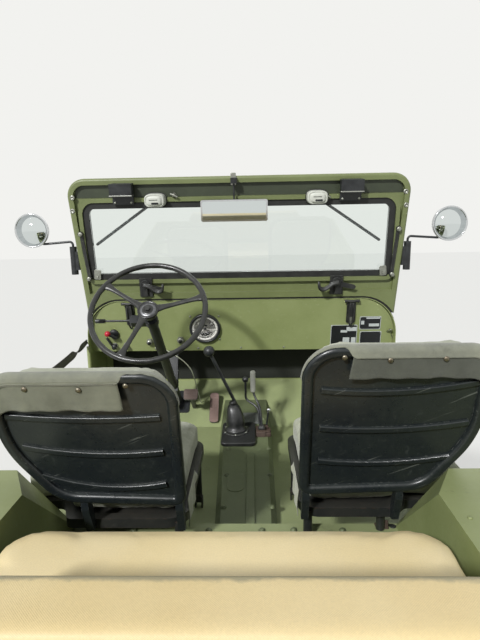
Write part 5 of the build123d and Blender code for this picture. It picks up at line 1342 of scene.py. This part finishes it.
def stitched(name, runs, spacing, thread, body):
    """Rows of stitches along runs of points, by instances of one short capsule set along the line."""
    capsule = turned(name + "_one", ((0.0, -0.0019), (0.0005, -0.0016), (0.0007, 0.0), (0.0005, 0.0016),
                                     (0.0, 0.0019)), Matrix.Identity(4), thread, 8)
    corners, edges = [], []
    for run in runs:
        edges += [(len(corners) + k, len(corners) + k + 1) for k in range(len(run) - 1)]
        corners += [tuple(point) for point in run]
    lines = bpy.data.meshes.new(name)
    lines.from_pydata(corners, edges, [])
    holder = link_object(name, lines)
    tree = bpy.data.node_groups.new(name, "GeometryNodeTree")
    tree.interface.new_socket("Geometry", in_out="INPUT", socket_type="NodeSocketGeometry")
    tree.interface.new_socket("Stitch", in_out="INPUT", socket_type="NodeSocketObject")
    tree.interface.new_socket("Thread", in_out="INPUT", socket_type="NodeSocketMaterial")
    tree.interface.new_socket("Spacing", in_out="INPUT", socket_type="NodeSocketFloat")
    tree.interface.new_socket("Geometry", in_out="OUTPUT", socket_type="NodeSocketGeometry")
    given = place(tree, "NodeGroupInput")
    curve = place(tree, "GeometryNodeMeshToCurve", {0: given.outputs["Geometry"]})
    spots = place(tree, "GeometryNodeCurveToPoints",
                  {"Curve": curve.outputs[0], "Length": given.outputs["Spacing"]}, mode="LENGTH")
    aimed = place(tree, "FunctionNodeAlignRotationToVector", {"Vector": spots.outputs["Tangent"]}, axis="Z")
    shape = place(tree, "GeometryNodeObjectInfo", {"Object": given.outputs["Stitch"]})
    copies = place(tree, "GeometryNodeInstanceOnPoints", {"Points": spots.outputs["Points"],
                                                          "Instance": shape.outputs["Geometry"],
                                                          "Rotation": aimed.outputs[0]})
    real = place(tree, "GeometryNodeRealizeInstances", {0: copies.outputs[0]})
    done = place(tree, "GeometryNodeSetMaterial", {"Geometry": real.outputs[0],
                                                   "Material": given.outputs["Thread"]})
    place(tree, "NodeGroupOutput", {0: done.outputs[0]})
    modifier = holder.modifiers.new("sewing", "NODES")
    modifier.node_group = tree
    for label, value in (("Stitch", capsule), ("Thread", thread), ("Spacing", spacing)):
        modifier[tree.interface.items_tree[label].identifier] = value
    piece = made_plain(holder)
    bpy.data.objects.remove(capsule)
    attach(piece, body)
    return piece


# waxed thread, duller and darker than the duck
waxed_thread = moulded("waxed_thread", "#5A5748", "#8B8872", 0.7, 0.8, 0.2)
hood_duck = woven("hood_cotton_duck", "#75776A", "#8B8D7B", "#4B4D40", 0.0024, 0.85, 0.0007)
# the flaps are darker copies of the band's duck, as painted shade, the passenger's darkest
flap_shade_ducks = {"driver": woven("flap_cotton_duck", "#686A58", "#7C7E6A", "#43453A", 0.0024, 0.88, 0.0009),
              "passenger": woven("dark_flap_cotton_duck", "#42453A", "#53564A", "#2C2E26", 0.0024, 0.88,
                                 0.0009)}
# dull nickel with brown stains, on the studs
nickel = plated("dull_nickel", "#8E8878", 0.35, "#5A4638", 0.7)
for prefix, cx, shift, outer, height, body, flap_start, flap_drop, band_end in seats:
    back_lie = on_back(cx, shift)
    outline = back_shape(outer, height, 0.0, 24)
    # the roll's path: up the door's side, along the top and down the inner corner to the band's end
    path = [p for p in outline if p.y > height - 0.110]
    path = [p for p in path if p.x * outer > 0 or p.y > band_end]
    order = sorted(path, key=lambda p: math.atan2(p.x * outer + 0.02, p.y - (height - 0.16)))
    stations = []
    for a, b in zip(order, order[1:]):
        steps = max(1, round((b - a).length / 0.008))
        stations += [a.lerp(b, k / steps) for k in range(steps)]
    stations.append(order[-1])
    tube, sleeve = 0.0125, 0.0147
    band, seam, hem_line = [], [], []
    facing_out = back_lie.to_3x3() @ Vector((0, 0, 1))
    for i, p in enumerate(stations):
        tangent = (stations[min(i + 1, len(stations) - 1)] - stations[max(i - 1, 0)]).normalized()
        out = Vector((-tangent.y, tangent.x))
        if out.dot(p - Vector((0, height - 0.16))) < 0:
            out = -out
        middle = p - out * tube
        along_flap = min(1.0, max(0.0, (p.x * outer + flap_start) / 0.014 + 1.0))
        tapering = min(1.0, max(0.0, (p.y - band_end) / 0.110)) if p.x * outer < 0 else 1.0
        last = math.radians(14 + 16 * tapering) * (1 - along_flap) + math.radians(90) * along_flap
        straight = 0.0095 * along_flap
        first = math.radians(-95 if tapering > 0.99 else -95 + 60 * (1 - tapering))
        row = []
        for k in range(15):
            angle = first + (last - first) * k / 14
            slack = 1.0 + 0.035 * math.sin(23.0 * i * 0.008 * 6 + 3 * angle) * max(0.0, math.sin(angle + 0.6))
            flat = middle + out * (sleeve * slack * math.cos(angle))
            row.append(back_lie @ Vector((flat.x, flat.y, sleeve * slack * math.sin(angle))))
        for k in range(1, 4):
            # below the roll the band hangs straight to its lower edge
            flat = middle + out * (sleeve * math.cos(last) - straight * k / 3 - 0.00005 * k)
            row.append(back_lie @ Vector((flat.x, flat.y, sleeve * math.sin(last) + 0.0008 * k * along_flap)))
        band.append(row)
        if along_flap > 0.99:
            seam.append(row[-2] + facing_out * 0.0005)
    hood = cloth_shell(prefix + "_hood_band", band, 0.0012, hood_duck)
    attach(hood, body)
    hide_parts(prefix + "_back_pad")
    length, width, area = grid_size(band)
    # the flap behind the back, from under the band's edge to its hem
    flap = []
    ends = (-flap_start, 0.178 - 0.002)
    columns = 56
    for i in range(columns + 1):
        u = ends[0] + (ends[1] - ends[0]) * i / columns
        row = []
        for k in range(17):
            d = 0.013 + (flap_drop - 0.013) * k / 16
            hang = k / 16
            slant = -0.008 * hang * (1 - i / columns) if i < 3 else 0.0
            round_off = max(0.0, (u - (0.178 - 0.055)) / 0.055)
            drop = d + 0.055 * (1 - math.sqrt(max(0.0, 1 - round_off * round_off)))
            wave = (0.0032 * hang * math.sin(41 * u + 1.3 * outer)
                    + 0.0019 * hang * math.sin(97 * u + 2.0 + 3.0 * hang))
            hem = 0.0009 if drop > flap_drop - 0.012 else 0.0
            edge = 0.0016 * math.sin(33 * u + outer) * hang
            w = 0.0143 + 0.0035 * hang + wave + hem
            row.append(back_lie @ Vector((outer * (u + slant), height - drop + edge, w)))
        flap.append(row)
        hem_line.append(row[14] + facing_out * 0.0005)
    # the flap takes its darker duck, as painted shade
    hanging = cloth_shell(prefix + "_hood_flap", flap, 0.0012 * outer, flap_shade_ducks[prefix])
    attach(hanging, body)
    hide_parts(prefix + "_back_pad")
    sewing = stitched(prefix + "_hood_stitches", (seam, hem_line[2:-2]), 0.0052, waxed_thread, body)
    length, width, area = grid_size(flap)

# studs just under the seam, and one at the roll's end
stud_rows = ((0.0062, -0.0016), (0.0062, 0.0008), (0.0048, 0.0022), (0.0024, 0.0030), (0.0, 0.0031))
for prefix, cx, shift, body, places in (
        ("driver", -0.340, -0.045, "body", ((-0.087, 0.339), (0.028, 0.336), (0.128, 0.343))),
        ("passenger", 0.400, 0.0, "passenger_seat", ((-0.147, 0.391), (-0.051, 0.386), (0.066, 0.388)))):
    back_lie = on_back(cx, shift)
    spots = [(back_lie @ Vector((u, v, 0.0178 if abs(u) < 0.120 else 0.0138)),
              back_lie.to_3x3() @ Vector((0, 0, 1))) for u, v in places]
    fastened(prefix + "_hood_studs", spots, stud_rows, nickel, body)

# a loose corner of each cushion's cover hangs over the frame beside the back
for prefix, cx, shift, outer, height, body, flap_start, flap_drop, band_end in seats:
    corner_cloth = []
    for i in range(29):
        t = i / 28
        row = []
        for k in range(13):
            d = k / 12
            x = cx - outer * (0.2315 + 0.004 * d + 0.0035 * d * math.sin(17 * t + 4 * d))
            y = -0.226 + shift + 0.150 * t
            fall = 0.060 + 0.016 * math.sin(2.1 + 9 * t) * (1 - t)
            if t > 0.45:
                fall *= 1 - 0.75 * (t - 0.45) / 0.55
            row.append(Vector((x, y, 0.338 - fall * d)))
        corner_cloth.append(row)
    loose = cloth_shell(prefix + "_loose_cover", corner_cloth, 0.0012 * outer, cotton_duck)
    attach(loose, body)
    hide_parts(prefix + "_seat_cushion")
    length, width, area = grid_size(corner_cloth)

# Rear bench
# A foam bench under cream woven-backed vinyl, rounded at its front corners, with a folding backrest of
# the same. The vinyl is speckled by its weave; the backrest's is a darker copy, as painted shade, and
# greyer along the front of its top.


def coated_cloth(name, base, pale, soil, greying_from):
    """Vinyl on a coarse cloth: the weave shows through as a speckle, with grey soil in soft patches."""
    made, tree, shader, where = surface(name, base, 0.5)
    shader.inputs["Coat Weight"].default_value = 0.12
    shader.inputs["Coat Roughness"].default_value = 0.4
    # the backing's threads, 1.3 mm apart, are drawn 2.6 mm apart so that they show
    split = place(tree, "ShaderNodeSeparateXYZ", {0: where})
    rise = place(tree, "ShaderNodeMath", {0: split.outputs[1], 1: split.outputs[2]}, operation="ADD")
    turns = 2 * math.pi / 0.0026
    warp_angle = place(tree, "ShaderNodeMath", {0: split.outputs[0], 1: turns}, operation="MULTIPLY")
    weft_angle = place(tree, "ShaderNodeMath", {0: rise.outputs[0], 1: turns}, operation="MULTIPLY")
    warp = place(tree, "ShaderNodeMath", {0: warp_angle.outputs[0]}, operation="SINE")
    weft = place(tree, "ShaderNodeMath", {0: weft_angle.outputs[0]}, operation="SINE")
    over = place(tree, "ShaderNodeMath", {0: warp.outputs[0], 1: weft.outputs[0]}, operation="MULTIPLY")
    fleck = place(tree, "ShaderNodeTexNoise", {"Vector": where, "Scale": 330.0, "Detail": 3.0,
                                               "Roughness": 0.7})
    weave = place(tree, "ShaderNodeMath", {0: over.outputs[0], 1: 0.25, 2: fleck.outputs[0]},
                  operation="MULTIPLY_ADD")
    shade = place(tree, "ShaderNodeMapRange", {0: weave.outputs[0], 1: 0.15, 2: 0.85, 3: 0.90, 4: 1.06})
    cloud = place(tree, "ShaderNodeTexNoise", {"Vector": where, "Scale": 5.0, "Detail": 5.0,
                                               "Roughness": 0.6})
    fade = place(tree, "ShaderNodeMapRange", {0: cloud.outputs[0], 1: 0.38, 2: 0.64})
    body = place(tree, "ShaderNodeMix", {0: fade.outputs[0], 6: colour(base), 7: colour(pale)},
                 data_type="RGBA")
    # greyer forward of a line across the piece, in soft lobes
    lobes = place(tree, "ShaderNodeTexNoise", {"Vector": where, "Scale": 13.0, "Detail": 6.0,
                                               "Roughness": 0.7})
    lift = place(tree, "ShaderNodeMath", {0: lobes.outputs[0], 1: 0.030, 2: split.outputs[1]},
                 operation="MULTIPLY_ADD")
    top = place(tree, "ShaderNodeMapRange", {0: lift.outputs[0], 1: greying_from, 2: greying_from + 0.007, 4: 0.75})
    patch = place(tree, "ShaderNodeTexNoise", {"Vector": where, "Scale": 21.0, "Detail": 8.0,
                                               "Roughness": 0.8})
    patchy = place(tree, "ShaderNodeMapRange", {0: patch.outputs[0], 1: 0.62, 2: 0.84, 4: 0.16})
    dirt = place(tree, "ShaderNodeMath", {0: top.outputs[0], 1: patchy.outputs[0]}, operation="MAXIMUM")
    soiled = place(tree, "ShaderNodeMix", {0: dirt.outputs[0], 6: body.outputs[2], 7: colour(soil)},
                   data_type="RGBA")
    tinted = place(tree, "ShaderNodeHueSaturation", {"Color": soiled.outputs[2], "Value": shade.outputs[0]})
    tree.links.new(tinted.outputs[0], shader.inputs["Base Color"])
    bump = place(tree, "ShaderNodeBump", {"Height": weave.outputs[0], "Strength": 0.5, "Distance": 0.0006})
    tree.links.new(bump.outputs[0], shader.inputs["Normal"])
    return made


# cream vinyl, faintly speckled, and on the backrest a darker, yellower copy as painted shade, greyer along
# its top
cream_vinyl = coated_cloth("cream_woven_vinyl", "#EBD7A5", "#EFDDB0", "#8F8973", 5.0)
backrest_shade_vinyl = coated_cloth("sunned_cream_vinyl", "#DAC490", "#E0CC9B", "#8B876F", -0.8960)
bench_half, bench_rear, bench_front = 0.430, -0.880, -0.500
bench_plan = rounded(((-bench_half + 0.003, bench_rear + 0.004, 0.028),
                      (bench_half - 0.003, bench_rear + 0.004, 0.028),
                      (bench_half - 0.001, bench_front + 0.006, 0.070),
                      (-bench_half + 0.001, bench_front + 0.006, 0.070)), 10)
bench = stuffed("bench_cushion", bench_plan, 0.3125, 0.418, Matrix.Identity(4), cream_vinyl, 0.008, 0.010)
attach(bench, "body")
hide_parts("rear_seat_cushion")
rest_lie = Matrix(((1, 0, 0, 0), (0, 0, -1, 0), (0, 1, 0, 0), (0, 0, 0, 1)))
# the backrest takes the darker vinyl, as painted shade
rest = stuffed("bench_backrest", oblong(0, 0.5385, 0.852, 0.213, 0.038), 0.894, 0.977, rest_lie,
               backrest_shade_vinyl, 0.008, 0.007)
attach(rest, "rear_backrest")
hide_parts("rear_backrest")
for name in ("rear_seat_base", "rear_backrest_frame"):
    finish_node(name, olive_enamel)

# Floor bracket
# A small rusty steel angle stands on the rear floor's edge, with a black rubber plug in the floor beside
# it. What it held isn't known.

bracket_lie = Matrix.Translation((0.398, -0.176, 0.2003))
upright_lie = bracket_lie @ Matrix(((1, 0, 0, 0), (0, 0, -1, 0.002), (0, 1, 0, 0), (0, 0, 0, 1)))
bracket = [
    plate("bracket_foot", oblong(0, 0, 0.034, 0.026, 0.003), 0.0, 0.003, bracket_lie, rusty_steel, 0.0008),
    plate("bracket_upright", oblong(0, 0.012, 0.030, 0.024, 0.004), 0.009, 0.012, upright_lie, rusty_steel,
          0.0008),
    turned("floor_plug", ((0.0095, 0.0), (0.0095, 0.0012), (0.0, 0.0012)),
           Matrix.Translation((0.428, -0.176, 0.2003)), black_rubber, 24),
]
group("floor_bracket", bracket, "body")

# Safety strap
# Dark webbing across the driver's opening. It is hooked to the pillar, twists over once near the front
# and hangs in a shallow sag.

# dark grey-brown cotton webbing, with its ribs drawn 3 mm apart so that they show
dark_webbing = woven("dark_cotton_webbing", "#4A4840", "#5E5B50", "#2C2B26", 0.0030, 0.9, 0.0009, 0.1)
ends = (Vector((-0.7125, 0.792, 0.489)), Vector((-0.7125, -0.156, 0.499)))
webbing = []
for i in range(97):
    t = i / 96
    spot = ends[0].lerp(ends[1], t)
    spot.z -= 0.030 * 4 * t * (1 - t)
    turn = math.pi * min(1.0, max(0.0, (t - 0.03) / 0.22))
    turn = turn - 0.5 * math.sin(2 * turn)
    width = 0.018 * (0.62 + 0.38 * min(1.0, t / 0.12))
    way = Vector((math.sin(turn) * 0.35, 0.0, math.cos(turn)))
    webbing.append([spot + way * (width * (k - 4) / 4) for k in range(9)])
strap = cloth_shell("webbing_strap", webbing, 0.0018, dark_webbing)
hook_lie = pointing((-0.7003, 0.792, 0.489), (-1, 0, 0))
rear_hook_lie = pointing((-0.7003, -0.150, 0.499), (-1, 0, 0))
boss_rows = ((0.012, 0.0), (0.012, 0.005), (0.008, 0.008), (0.008, 0.0135), (0.0, 0.0145))
rear_boss_rows = ((0.010, 0.0), (0.010, 0.004), (0.006, 0.007), (0.006, 0.0120), (0.0, 0.0130))
strap_hook = [turned("strap_boss", boss_rows, hook_lie, zinc, 28),
              turned("strap_boss_rear", rear_boss_rows, rear_hook_lie, zinc, 28)]
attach(strap, "body")
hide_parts("safety_strap")
group("strap_bosses", strap_hook, "body")
